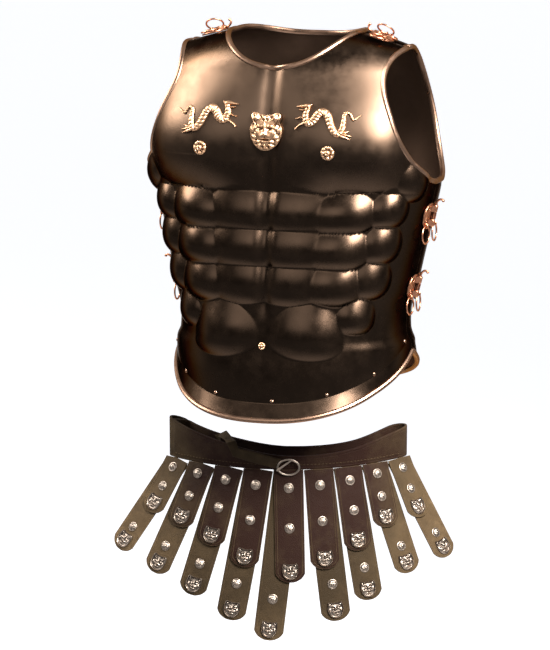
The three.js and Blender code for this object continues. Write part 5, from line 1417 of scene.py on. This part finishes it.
class CUIRASS_OT_closures(Operator):
    """Makes the twelve scrolled leaves, their pins and their wire rings"""

    bl_idname = "cuirass.closures"
    bl_label = "Closures"

    def execute(self, context):
        trunk = Trunk(settings("shape"))
        fitting = settings("fitting")
        half = fitting.leaf_length / 2

        def swing_point(level):
            share = (level - SWING_FOOT[1]) / (SWING_TOP[1] - SWING_FOOT[1])
            return np.array([mix(SWING_FOOT[0], SWING_TOP[0], share), 0, level])

        swing_axis = swing_point(SWING_TOP[1]) - swing_point(SWING_FOOT[1])
        for place, level in SIDE_LEVELS:
            self.closure(trunk, fitting, f"right_{place}_closure", "side", swing_point(level), swing_axis,
                         (-1, 0, 0), False)
            point, normal = trunk.skin(QUARTER, trunk.share_of(level))
            above = trunk.skin(QUARTER, trunk.share_of(level + half))[0]
            below = trunk.skin(QUARTER, trunk.share_of(level - half))[0]
            axis = above - below
            axis[1] = 0
            centre = point + normal * SIDE_STANDOFF
            centre[1] = 0
            self.closure(trunk, fitting, f"left_{place}_closure", "side", centre, axis, (1, 0, 0), True)
        for word, side in (("left", 1), ("right", -1)):
            p = 0.0
            while trunk.ridge(np.float64(p))[0] < SHOULDER_OFFSET:
                p += SEARCH_STEP
            centre = trunk.ridge(np.float64(side * p))
            axis = trunk.ridge(np.float64(side * (p - 8 * SEARCH_STEP))) - centre
            axis[1] = 0
            self.closure(trunk, fitting, f"{word}_shoulder_closure", "shoulder",
                         centre + (0, 0, SHOULDER_STANDOFF), axis, (0, 0, 1), True)
        return {"FINISHED"}

    def closure(self, trunk, fitting, name, kind, centre, axis, outward, open_back):
        """Two leaves with their rings, and the pin between them"""
        shape = trunk.shape
        copper = [finish("rose_copper")]
        world = closure_frame(centre, axis, outward)
        to_frame = world.inverted()
        side = math.copysign(1, centre[0])
        half, third, gap = fitting.hinge_length / 2, fitting.hinge_length / 6, KNUCKLE_GAP
        for leaf, direction in (("front", -side), ("back", side)):
            point, normal, p, s = leaf_place(trunk, fitting, centre, direction, kind)
            point[1] += -shape.plate_gap / 2 if leaf == "front" else shape.plate_gap / 2
            local_normal = (to_frame.to_3x3() @ Vector(normal)).normalized()
            y = Vector((0, 1, 0))
            y = (y - local_normal * local_normal.y).normalized()
            x = y.cross(local_normal)
            origin = to_frame @ Vector(point)
            origin.y = 0
            turn = Matrix((x, y, local_normal)).transposed().to_4x4()
            reach = reach_under(trunk, world @ Matrix.Translation(origin) @ turn,
                                fitting.leaf_reach / 2, fitting.leaf_length / 2, p, s)
            origin += local_normal * (reach + fitting.seat_clearance * 2)
            seat = Matrix.Translation(origin) @ turn
            bands = ([(-half, -third - gap / 2), (third + gap / 2, half)] if leaf == "front"
                     else [(-third + gap / 2, third - gap / 2)])
            parts = leaf_parts(fitting, direction, bands, seat, leaf == "back" and open_back)
            if kind == "side":
                spot = (direction * fitting.leaf_reach * SIDE_LUG_SHARES[0],
                        -fitting.leaf_length / 2 * SIDE_LUG_SHARES[1])
                level_x = world.to_3x3() @ x
                level_x.z = 0
                hole_axis = to_frame.to_3x3() @ level_x.normalized()
            else:
                spot = (direction * fitting.leaf_reach * (SHOULDER_LUG_SHARE - 0.5), 0)
                hole_axis = y
            lug = seat @ Vector((*spot, fitting.leaf_thickness + LUG_LIFT))
            eye = closure_frame(lug, hole_axis, local_normal)
            lug_line = [(x, 0, z) for x, z in circle((0, 0), LUG_RADIUS, 20)]
            parts.append(placed(tube(lug_line, LUG_WIRE, 8, True), eye))
            dress(f"{name}_{leaf}_scroll", all_placed(parts, world), copper, leaf,
                  f"{name}_{leaf}_leaf", 45)
            self.ring(fitting, name, kind, leaf, world, hole_axis, lug, normal, copper)
        self.pin(fitting, name, world, half, gap, copper)

    def ring(self, fitting, name, kind, leaf, world, hole_axis, lug, normal, materials):
        """A side ring hangs; a front shoulder ring lies on the chest and a back one stands"""
        axis = (world.to_3x3() @ hole_axis).normalized()
        spot = world @ lug
        if kind == "side":
            down = Vector((0, 0, -1))
        else:
            forward = axis.cross(Vector((0, 0, 1))).normalized()
            if forward.y > 0:
                forward.negate()
            if leaf == "front":
                down = axis.cross(Vector(normal)).normalized()
                if down.y > 0:
                    down.negate()
            else:
                up = forward.cross(axis)
                if up.z < 0:
                    up.negate()
                down = (forward * math.cos(STANDING_RING_ANGLE * DEGREE)
                        + up * math.sin(STANDING_RING_ANGLE * DEGREE)).normalized()
        centre = spot + down * fitting.ring_radius
        line = [centre + axis * a + down * b for a, b in circle((0, 0), fitting.ring_radius, 40)]
        node = f"{name}_{leaf}_ring"
        dress(node + "_wire", [(tube(line, fitting.ring_wire_radius, 10, True), 0)], materials, node,
              node, 60)

    def pin(self, fitting, name, world, half, gap, materials):
        """A straight pin with a hooked head"""
        top = half + gap + PIN_TAIL
        line = [(0, -half - PIN_TAIL, 0), (0, -half, 0), (0, 0, 0), (0, half, 0)]
        line += [(0, top + a * PIN_HOOK_REACH, b * PIN_HOOK_REACH) for a, b in PIN_HOOK]
        path = np.vstack([np.array(line[:3]), catmull(line[3:], 26)])
        radius = np.full(len(path), fitting.pin_radius)
        radius[0] *= 0.7
        radius[-10:] *= np.linspace(1, 0.72, 10)
        parts = [tube(path, radius), ball(path[-1] + PIN_KNOB_PLACE, (PIN_KNOB_RADIUS,) * 3)]
        node = name + "_pin"
        dress(node + "_bent", all_placed(parts, world), materials, node, node, 50)


# The belt

BELT_TURN = 21 * DEGREE
BELT_TILT = 5 * DEGREE
BELT_OFFSET = -0.012
BELT_LEVEL = -0.190
BELT_CLEARANCE = 0.00035
BAND_STEPS = 110
BAND_EDGE = ((0.62, 0.0), (0.9, 0.0004), (1.0, 0.0012), (1.0, 0.0030), (0.8, 0.0034), (0.8, 0.0040),
             (1.0, 0.0044))
STITCH_LEVEL = 0.0072
STITCH_MARGIN = 0.006
STITCH_PITCH = 0.0052
STITCH_HALF_LENGTH = 0.0015
STITCH_RISES = (-0.0002, 0.0003, -0.0002)
STITCH_THREADS = (0.00035, 0.00048, 0.00035)
BAND_HEIGHTS = ((-1, -0.75, -0.45, -0.1, 0.2, 0.5, 0.75, 1), (1, 0.62, 0.3, 0.02, 0, 0.2, 0.62, 1))
FASTENING_WAY = (1, 0.96, 0.87, 0.83, 0.75, 0.5, 0.27, 0.12)
FASTENING_RESTS = (1.35, 4, 1.4, 2.6, 1.5)
FASTENING_ANCHOR = 0.096
FASTENING_WIDTH = 0.015
FASTENING_THICKNESS = 0.0024
FASTENING_BEVEL = 0.0006
BUCKLE_HALF_WIDTH = 0.015
BUCKLE_HALF_HEIGHT = 0.011
BUCKLE_WIRE = 0.0014
PRONG_LENGTH = 0.026
PRONG_TAPER = ((-1, -0.5, 0, 0.5, 0.9, 1), (1, 1, 0.95, 0.85, 0.6, 0.3))
STRAP_GAP = 0.0005
STRAP_FLARES = (16, 30)
SHORT_LENGTHS = (0.54, 0.6, 0.72, 0.88, 1.0, 0.89, 0.75, 0.58, 0.56)
LONG_LENGTHS = (0.64, 0.7, 0.78, 0.895, 1.0, 0.89, 0.785, 0.67, 0.643)
SHORT_FANS = (-11, -10, -8, -6, 1, 1, 1, -1, 2)
LONG_FANS = (-19, -14, -11, -8, -7, 4, 3, 7, 10)
SHORT_STUDS = (0.16, 0.52)
LONG_STUD = 0.24
STRAP_COUNT = 9
STRAP_EDGE = 0.0007
STRAP_BORDER_SHARE = 0.86
STRAP_BORDER_LIFT_SHARE = 0.07
STRAP_BORDER_TOP = -0.012
STRAP_BORDER_THREAD = 0.0004
STUD_PROFILE = ((1, -0.1), (1, 0.14), (0.96, 0.24), (0.88, 0.28), (0.82, 0.26), (0.76, 0.42), (0.66, 0.66),
                (0.52, 0.84), (0.4, 0.9), (0.3, 0.88), (0.25, 1.02), (0.16, 1.14), (0.02, 1.18))
STUD_RISE = 0.0034
MASK_OUTLINE = (
    (0, 0.8), (0.28, 0.82), (0.5, 0.84), (0.66, 0.9), (0.82, 0.86), (0.9, 0.7), (0.93, 0.5), (0.97, 0.25),
    (0.96, 0.0), (0.88, -0.36), (0.68, -0.7), (0.38, -0.92), (0, -1),
)
# Nose, brows, eyes, muzzle, chin, cheeks and ears: height share, centre and spread
MASK_FEATURES = (
    (0.75, (0, 0.1), (0.1, 0.3)), (0.7, (0.3, 0.38), (0.2, 0.07)), (0.6, (0.33, 0.1), (0.1, 0.08)),
    (0.7, (0.2, -0.22), (0.17, 0.1)), (0.55, (0, -0.52), (0.2, 0.07)), (0.5, (0.64, -0.12), (0.08, 0.2)),
    (0.45, (0.62, 0.6), (0.13, 0.14)),
)
MASK_RISE = 0.0034
MASK_LIFT_SHARE = 1.25
STRAP_TIP = ((-0.5, 0.3), (-0.44, 0.2), (-0.34, 0.1), (-0.16, 0.015), (0, 0.0), (0.16, 0.015), (0.34, 0.1),
             (0.44, 0.2), (0.5, 0.3))


class Belt:
    """Places on the folded band, in its own frame: front toward -y, lower edge on z = 0"""

    def __init__(self, shape):
        self.shape = shape
        self.arc = math.asin((shape.half_width - shape.corner_radius) / shape.front_radius)
        self.centre_y = shape.front_radius - shape.fold_depth
        self.back_radius = shape.front_radius - 2 * shape.corner_radius
        place = Vector((BELT_OFFSET * math.cos(BELT_TURN), BELT_OFFSET * math.sin(BELT_TURN), BELT_LEVEL))
        self.matrix = (Matrix.Translation(place) @ Matrix.Rotation(BELT_TURN, 4, "Z")
                       @ Matrix.Rotation(BELT_TILT, 4, "X"))

    def front(self, angle, radius=None):
        radius = self.shape.front_radius if radius is None else radius
        return np.stack([radius * np.sin(angle), self.centre_y - radius * np.cos(angle)], axis=-1)

    def back(self, angle):
        point = self.front(angle, self.back_radius)
        point[..., 1] += self.shape.bow * np.cos(angle / self.arc * QUARTER) ** 2
        return point

    def line(self, steps):
        """The middle of the band, once round"""
        shape = self.shape
        points = list(self.front(np.linspace(-self.arc, self.arc, steps)))
        for side in (1, -1):
            angle = side * self.arc
            centre = self.front(angle, shape.front_radius - shape.corner_radius)
            for share in np.linspace(0, 1, 14)[1:-1]:
                turn = -QUARTER + angle + side * math.pi * share
                points.append(centre + shape.corner_radius * np.array([math.cos(turn), math.sin(turn)]))
            if side == 1:
                points.extend(self.back(np.linspace(self.arc, -self.arc, steps)))
        return np.array(points)

    def height(self, x):
        shape = self.shape
        share = np.asarray(x, float) / shape.half_width
        end = np.where(share < 0, shape.left_end_height, shape.right_end_height)
        return mix(shape.middle_height, end, through(*BAND_HEIGHTS, share))


def band_parts(belt):
    """The band with rounded edges, a creased line near each edge and a row of stitches"""
    shape = belt.shape
    line = belt.line(BAND_STEPS)
    along = unit(np.roll(line, -1, 0) - np.roll(line, 1, 0))
    out = np.stack([along[:, 1], -along[:, 0]], axis=1)
    half = shape.thickness / 2
    sides = ((1, BAND_EDGE, False), (1, BAND_EDGE[::-1], True),
             (-1, BAND_EDGE, True), (-1, BAND_EDGE[::-1], False))
    rings = []
    for point, away in zip(line, out):
        top = float(belt.height(point[0]))
        rings.append([(*(point + away * half * share * sign), top - inset if from_top else inset)
                      for sign, face, from_top in sides for share, inset in face])
    parts = [(loft(rings, True), 0)]

    angles = np.linspace(-belt.arc, belt.arc, 400)
    lengths = np.cumsum(np.linalg.norm(np.diff(belt.front(angles), axis=0), axis=1))
    lengths = np.concatenate([[0], lengths])
    for at in np.arange(STITCH_MARGIN, lengths[-1] - STITCH_MARGIN, STITCH_PITCH):
        stitch = []
        for offset, rise in zip((-STITCH_HALF_LENGTH, 0, STITCH_HALF_LENGTH), STITCH_RISES):
            angle = np.interp(at + offset, lengths, angles)
            stitch.append((*belt.front(angle, shape.front_radius + half + rise), STITCH_LEVEL))
        parts.append((tube(stitch, STITCH_THREADS, 6), 1))
    return parts


def strap_outline(shape, length, fan):
    """The strap turned by its fan angle and cut level with the band, its top centre at the origin"""
    width = shape.strap_width
    tip = catmull([(a * width, -length + b * width) for a, b in STRAP_TIP], 34).tolist()
    points = tip + [(width / 2, 0.0), (-width / 2, 0.0)]
    turn = fan * DEGREE
    points = [(x * math.cos(turn) - y * math.sin(turn), x * math.sin(turn) + y * math.cos(turn))
              for x, y in points]
    kept = []
    for k, (x, y) in enumerate(points):
        ax, ay = points[k - 1]
        if (ay < 0) != (y < 0):
            f = ay / (ay - y)
            kept.append((mix(ax, x, f), 0.0))
        if y < 0:
            kept.append((x, y))
    return kept


def stud_part(radius, place):
    """A domed stud: a flat washer edge, nine petals and a knob"""
    profile = [(a * radius, b * STUD_RISE) for a, b in STUD_PROFILE]
    points, faces = turned(profile, 48, 9, 0.16, (radius * 0.3, radius * 0.78))
    return points + place, faces


def mask_height(x, y, t):
    """A small lion face in rounded ridges inside a raised border, over shares of its radius"""
    border = 0.75 * np.exp(-((t - 0.92) / 0.055) ** 2)
    return 0.2 + border + bumps(np.abs(x), y, MASK_FEATURES)


def strap_parts(shape, length, fan, studs):
    """The strap with its pale cut edge, border line, studs and mount, hanging from the origin"""
    thick = shape.strap_thickness
    outline = strap_outline(shape, length, fan)
    points, faces = plaque([outline], thick, STRAP_EDGE)
    slots = [int(min(abs(points[i][2] - thick / 2) for i in face) < thick / 2 - NEAR_ZERO)
             for face in faces]
    parts = [((points, faces), slots)]
    turn = Matrix.Rotation(fan * DEGREE, 4, "Z")
    width = shape.strap_width
    inner = width * STRAP_BORDER_SHARE
    border = catmull([(a * inner, -length + b * inner + width * STRAP_BORDER_LIFT_SHARE)
                      for a, b in STRAP_TIP], 30)
    border = np.vstack([[(-inner / 2, STRAP_BORDER_TOP)], border, [(inner / 2, STRAP_BORDER_TOP)]])
    line = np.column_stack([border, np.full(len(border), thick)])
    parts.append((placed(tube(line, STRAP_BORDER_THREAD, 6), turn), 1))
    for share in studs:
        parts.append((placed(stud_part(shape.stud_radius, (0, -share * length, thick)), turn), 2))
    radius = shape.mask_radius
    mask, faces = relief(mirrored(catmull(MASK_OUTLINE, 33)), mask_height,
                         np.concatenate([np.linspace(1, 0.8, 9), np.linspace(0.76, 0.02, 16)]), -0.1)
    mask = mask * (radius, radius, MASK_RISE) + (0, -length + radius * MASK_LIFT_SHARE, thick)
    parts.append((placed((mask, faces), turn), 2))
    return parts


def strap_matrix(belt, k, layer):
    """The place of a strap, the short layer in front of the long one"""
    shape = belt.shape
    angle = (k - 4) * shape.strap_pitch / shape.front_radius
    flare = mix(STRAP_FLARES[0], STRAP_FLARES[1], (k / 4 - 1) ** 2) * DEGREE
    q = belt.front(np.float64(angle))
    out = Vector((math.sin(angle), -math.cos(angle), 0))
    x = Vector((math.cos(angle), math.sin(angle), 0))
    y = Vector((0, 0, 1)) * math.cos(flare) - out * math.sin(flare)
    z = x.cross(y)
    hinge = Vector((q[0], q[1], -BELT_CLEARANCE)) + out * shape.thickness / 2
    front = shape.strap_thickness * 2 + STRAP_GAP
    base = hinge + z * (-front + layer * (shape.strap_thickness + STRAP_GAP))
    return belt.matrix @ axes_at(base, x, y, z)


class CUIRASS_OT_straps(Operator):
    """Cuts the nine long and nine short straps, with their studs and lion mounts"""

    bl_idname = "cuirass.straps"
    bl_label = "Straps"

    def execute(self, context):
        shape = settings("belt")
        belt = Belt(shape)
        for k in range(STRAP_COUNT):
            ends = k in (0, STRAP_COUNT - 1)
            for word, layer, length, fan, studs in (
                    ("long", 0, LONG_LENGTHS[k] * shape.long_length, LONG_FANS[k], (1 - LONG_STUD,)),
                    ("short", 1, SHORT_LENGTHS[k] * shape.short_length, SHORT_FANS[k], SHORT_STUDS)):
                olive = ends or word == "long"
                leather = "olive_leather" if olive else "waxed_leather"
                materials = [finish(leather), finish("burnished_edge"), finish("tarnished_pewter")]
                parts = strap_parts(shape, length, fan, studs)
                matrix = strap_matrix(belt, k, layer)
                node = f"{word}_strap_{k + 1}"
                dress(node + "_leather", [(placed(part, matrix), index) for part, index in parts],
                      materials, node, node, 40)
        return {"FINISHED"}


class CUIRASS_OT_band(Operator):
    """Makes the folded band, its fastening strap, and the buckle with its prong"""

    bl_idname = "cuirass.band"
    bl_label = "Band and Buckle"

    def execute(self, context):
        shape = settings("belt")
        belt = Belt(shape)
        parts = [(placed(part, belt.matrix), index) for part, index in band_parts(belt)]
        dress("band_leather", parts, [finish("waxed_leather"), finish("burnished_edge")], "belt",
              "belt_band", 40)
        dress("fastening_leather", all_placed([self.fastening(belt)], belt.matrix),
              [finish("olive_leather")], "belt", "fastening_strap", 40)

        clear = BELT_CLEARANCE
        base_y = float(belt.front(np.float64(0.0))[1]) - shape.thickness / 2 - FASTENING_THICKNESS - clear
        centre = np.array([0, base_y - BUCKLE_WIRE - clear / 2, shape.middle_height / 4])
        turn = np.linspace(0, 2 * math.pi, 48, endpoint=False)
        line = centre + np.stack([BUCKLE_HALF_WIDTH * np.cos(turn), np.zeros(48),
                                  BUCKLE_HALF_HEIGHT * np.sin(turn)], axis=1)
        pewter = [finish("tarnished_pewter")]
        dress("buckle_wire", all_placed([tube(line, BUCKLE_WIRE, 12, True)], belt.matrix), pewter,
              "buckle_ring", "buckle_ring", 60)
        slope = math.atan(BUCKLE_HALF_HEIGHT / BUCKLE_HALF_WIDTH)
        middle = centre + (PRONG_LENGTH / 2 * math.cos(slope) - BUCKLE_HALF_WIDTH - BUCKLE_WIRE,
                           -2 * BUCKLE_WIRE - clear, BUCKLE_HALF_HEIGHT / 3)
        way = np.array([math.cos(slope), 0, math.sin(slope)])
        stations, girths = PRONG_TAPER
        prong = tube([middle + way * f * PRONG_LENGTH / 2 for f in stations],
                     BUCKLE_WIRE * np.array(girths))
        dress("prong_wire", all_placed([prong], belt.matrix), pewter, "buckle_prong",
              "buckle_prong", 50)
        return {"FINISHED"}

    def fastening(self, belt):
        """From the inside of the back run, over the front edge and down to the buckle"""
        shape = belt.shape
        rest = (shape.thickness + FASTENING_THICKNESS) / 2 + BELT_CLEARANCE
        lift = FASTENING_WIDTH / 2
        xs = [-share * FASTENING_ANCHOR for share in FASTENING_WAY]
        high = [float(belt.height(x)) for x in xs]
        slope = (high[3] - high[2]) / (xs[3] - xs[2])

        def crest(k):
            return high[k] + rest * FASTENING_RESTS[2] + lift * abs(slope)

        def level(x):
            return mix(lift * 1.15, high[4] - lift, (x - xs[7]) / (xs[4] - xs[7]))

        def front(x, away):
            angle = math.asin(x / shape.front_radius)
            q = belt.front(np.float64(angle))
            return q[0] + away * math.sin(angle), q[1] - away * math.cos(angle)

        back_angle = math.asin(xs[0] / belt.back_radius)
        back_normal = np.array([math.sin(back_angle), -math.cos(back_angle), 0])
        back = belt.back(np.float64(back_angle))
        anchor = np.array([back[0], back[1], high[0] - lift]) + back_normal * rest * FASTENING_RESTS[0]
        stations = [(anchor, back_normal),
                    ((xs[1], back[1] - rest * FASTENING_RESTS[1], high[1] + lift * 0.5), (-0.2, -0.7, 1)),
                    ((xs[2], front(xs[2], -rest)[1], crest(2)), (-slope, 0, 1)),
                    ((xs[3], front(xs[3], rest * FASTENING_RESTS[3])[1], crest(3)), (-slope, -0.4, 1))]
        for x in xs[4:]:
            away = rest * FASTENING_RESTS[4] if x == xs[4] else rest
            angle = math.asin(x / shape.front_radius)
            stations.append(((*front(x, away), level(x)), (math.sin(angle), -math.cos(angle), 0)))
        points = np.array([np.array(s[0], float) for s in stations])
        normals = np.array([np.array(s[1], float) for s in stations])
        rings = []
        count = len(stations)
        for k in range(count):
            before, after = points[max(k - 1, 0)], points[min(k + 1, count - 1)]
            along = unit(after - before)
            normal = unit(normals[k] - along * normals[k].dot(along))
            across = np.cross(along, normal)
            w, t, e = FASTENING_WIDTH / 2, FASTENING_THICKNESS / 2, FASTENING_BEVEL
            corners = ((-w, -t + e), (-w + e, -t), (w - e, -t), (w, -t + e),
                       (w, t - e), (w - e, t), (-w + e, t), (-w, t - e))
            rings.append([points[k] + across * a + normal * b for a, b in corners])
        rings = np.array(rings)
        fine = []
        for t in np.linspace(0, count - 1, 8 * (count - 1) + 1):
            k = min(int(t), count - 2)
            fine.append(mix(rings[k], rings[k + 1], t - k))
        return loft(fine)


# The stage. Each lamp: its turn from the camera to the right, its rise, its distance,
# its width and height, its brightness and its colour.

LAMPS = (
    ("left_lamp", -98, 36, 2.6, (1.0, 1.3), 7.0, (1.0, 0.97, 0.95)),
    ("right_lamp", 38, 40, 2.5, (1.5, 1.3), 15.0, (1.0, 0.97, 0.95)),
    ("chest_lamp", -30, 26, 3.0, (2.4, 1.2), 0.5, (1.0, 0.97, 0.95)),
)
ROOM_LEVEL = 0.12
DIFFUSE_LEVEL = 0.32
FLOOR_GLOW = 0.72
FLOOR_ROUGHNESS = 0.9
FLOOR_HALF_SIZE = 90.0
FLOOR_FADE = (0.0, 4.0)
ROOM_FADE = (-0.1, 0.35)
LAMP_SPREAD = 70 * DEGREE
LAMP_AIM_LEVEL = 0.15
CAMERA_SHIFT = -0.0308
SENSOR_WIDTH = 36
FARTHEST_SEEN = 400


class CUIRASS_OT_stage(Operator):
    """Sets the pale floor, the soft lamps and the camera"""

    bl_idname = "cuirass.stage"
    bl_label = "Stage"

    def execute(self, context):
        stage = settings("stage")
        scene = context.scene
        scene.view_settings.view_transform = "Standard"
        self.floor(stage)
        self.world(stage, scene)
        turn = stage.camera_turn
        right = Vector((math.cos(turn), math.sin(turn), 0))
        toward = Vector((math.sin(turn), -math.cos(turn), 0))
        target = right * CAMERA_SHIFT
        camera_data = bpy.data.cameras.new("camera")
        camera = bpy.data.objects.new("camera", camera_data)
        scene.collection.objects.link(camera)
        camera.location = target + toward * stage.camera_distance + Vector((0, 0, stage.camera_height))
        away = (target - camera.location).normalized()
        camera.rotation_euler = away.to_track_quat("-Z", "Y").to_euler()
        distance = (target - camera.location).length
        camera_data.sensor_width = SENSOR_WIDTH
        camera_data.lens = SENSOR_WIDTH * distance / stage.picture_height
        camera_data.clip_end = FARTHEST_SEEN
        scene.camera = camera
        for name, turned_by, rise, distance, size, radiance, colour in LAMPS:
            place = toward * math.cos(turned_by * DEGREE) + right * math.sin(turned_by * DEGREE)
            place = place * math.cos(rise * DEGREE) + Vector((0, 0, math.sin(rise * DEGREE)))
            place = place * distance
            data = bpy.data.lights.new(name, "AREA")
            data.shape = "RECTANGLE"
            data.size, data.size_y = size
            data.energy = radiance * math.pi * size[0] * size[1]
            data.spread = LAMP_SPREAD
            data.color = colour
            lamp = bpy.data.objects.new(name, data)
            lamp.location = place + Vector((0, 0, LAMP_AIM_LEVEL))
            lamp.rotation_euler = (-place).to_track_quat("-Z", "Y").to_euler()
            scene.collection.objects.link(lamp)
        return {"FINISHED"}

    def floor(self, stage):
        """A pale floor that glows a little, so that it meets the white behind it"""
        mesh = bpy.data.meshes.new("floor")
        size, level = FLOOR_HALF_SIZE, stage.floor_level
        mesh.from_pydata([(-size, -size, level), (size, -size, level), (size, size, level),
                          (-size, size, level)], [], [(0, 1, 2, 3)])
        floor = bpy.data.objects.new("floor", mesh)
        bpy.context.scene.collection.objects.link(floor)
        material, tree, shader = new_material("pale_floor")
        shader.inputs["Base Color"].default_value = (*stage.floor_colour, 1)
        shader.inputs["Roughness"].default_value = FLOOR_ROUGHNESS
        coords = tree.nodes.new("ShaderNodeTexCoord")
        shown = self.shown(tree, self.behind(tree, coords.outputs["Object"], stage, FLOOR_FADE), 0.0)
        tree.links.new(arithmetic(tree, "MULTIPLY", shown, FLOOR_GLOW), shader.inputs["Emission Strength"])
        shader.inputs["Emission Color"].default_value = (*stage.floor_colour, 1)
        mesh.materials.append(material)

    def world(self, stage, scene):
        """White all round to the eye; polished metal sees it behind, and the dim room in front"""
        world = bpy.data.worlds.new("pale_room")
        scene.world = world
        world.use_nodes = True
        tree = world.node_tree
        background = tree.nodes["Background"]
        background.inputs["Color"].default_value = (*stage.floor_colour, 1)
        coords = tree.nodes.new("ShaderNodeTexCoord")
        behind = self.behind(tree, coords.outputs["Generated"], stage, ROOM_FADE)
        shown = self.shown(tree, behind, ROOM_LEVEL)
        path = tree.nodes.new("ShaderNodeLightPath")
        plain = arithmetic(tree, "MULTIPLY", path.outputs["Is Diffuse Ray"], DIFFUSE_LEVEL)
        tree.links.new(arithmetic(tree, "ADD", shown, plain), background.inputs["Strength"])

    def behind(self, tree, vector, stage, fade):
        """From 0 to 1 with the distance along a vector, away from the camera"""
        along = tree.nodes.new("ShaderNodeVectorMath")
        along.operation = "DOT_PRODUCT"
        along.inputs[1].default_value = (-math.sin(stage.camera_turn), math.cos(stage.camera_turn), 0)
        tree.links.new(vector, along.inputs[0])
        return range_of(tree, along.outputs["Value"], *fade)

    def shown(self, tree, behind, least):
        """1 to the camera, and to reflected and passing rays as far as they look behind"""
        path = tree.nodes.new("ShaderNodeLightPath")
        sees = arithmetic(tree, "MAXIMUM", path.outputs["Is Glossy Ray"],
                          path.outputs["Is Transmission Ray"])
        level = arithmetic(tree, "MULTIPLY", sees, arithmetic(tree, "MAXIMUM", behind, least))
        return arithmetic(tree, "MAXIMUM", path.outputs["Is Camera Ray"], level)


class CUIRASS_PT_panel(Panel):
    """Lists the steps that build the armour"""

    bl_label = "Muscled Cuirass"
    bl_idname = "CUIRASS_PT_panel"
    bl_space_type = "VIEW_3D"
    bl_region_type = "UI"
    bl_category = "Cuirass"

    def draw(self, context):
        layout = self.layout
        for step in STEPS:
            layout.operator(step.bl_idname)


STEPS = (CUIRASS_OT_stage, CUIRASS_OT_plates, CUIRASS_OT_ornaments, CUIRASS_OT_closures, CUIRASS_OT_band,
         CUIRASS_OT_straps)
GROUPS = {"shape": CuirassShape, "fitting": FittingShape, "belt": BeltShape, "stage": StageShape}
CLASSES = (*GROUPS.values(), *STEPS, CUIRASS_PT_panel)


def register():
    for cls in CLASSES:
        bpy.utils.register_class(cls)
    for name, group in GROUPS.items():
        setattr(bpy.types.Scene, "cuirass_" + name, PointerProperty(type=group))


def unregister():
    for name in GROUPS:
        delattr(bpy.types.Scene, "cuirass_" + name)
    for cls in reversed(CLASSES):
        bpy.utils.unregister_class(cls)


def main():
    register()
    bpy.ops.cuirass.stage()
    bpy.ops.cuirass.plates()
    bpy.ops.cuirass.ornaments()
    bpy.ops.cuirass.closures()
    bpy.ops.cuirass.band()
    bpy.ops.cuirass.straps()


if __name__ == "__main__":
    main()
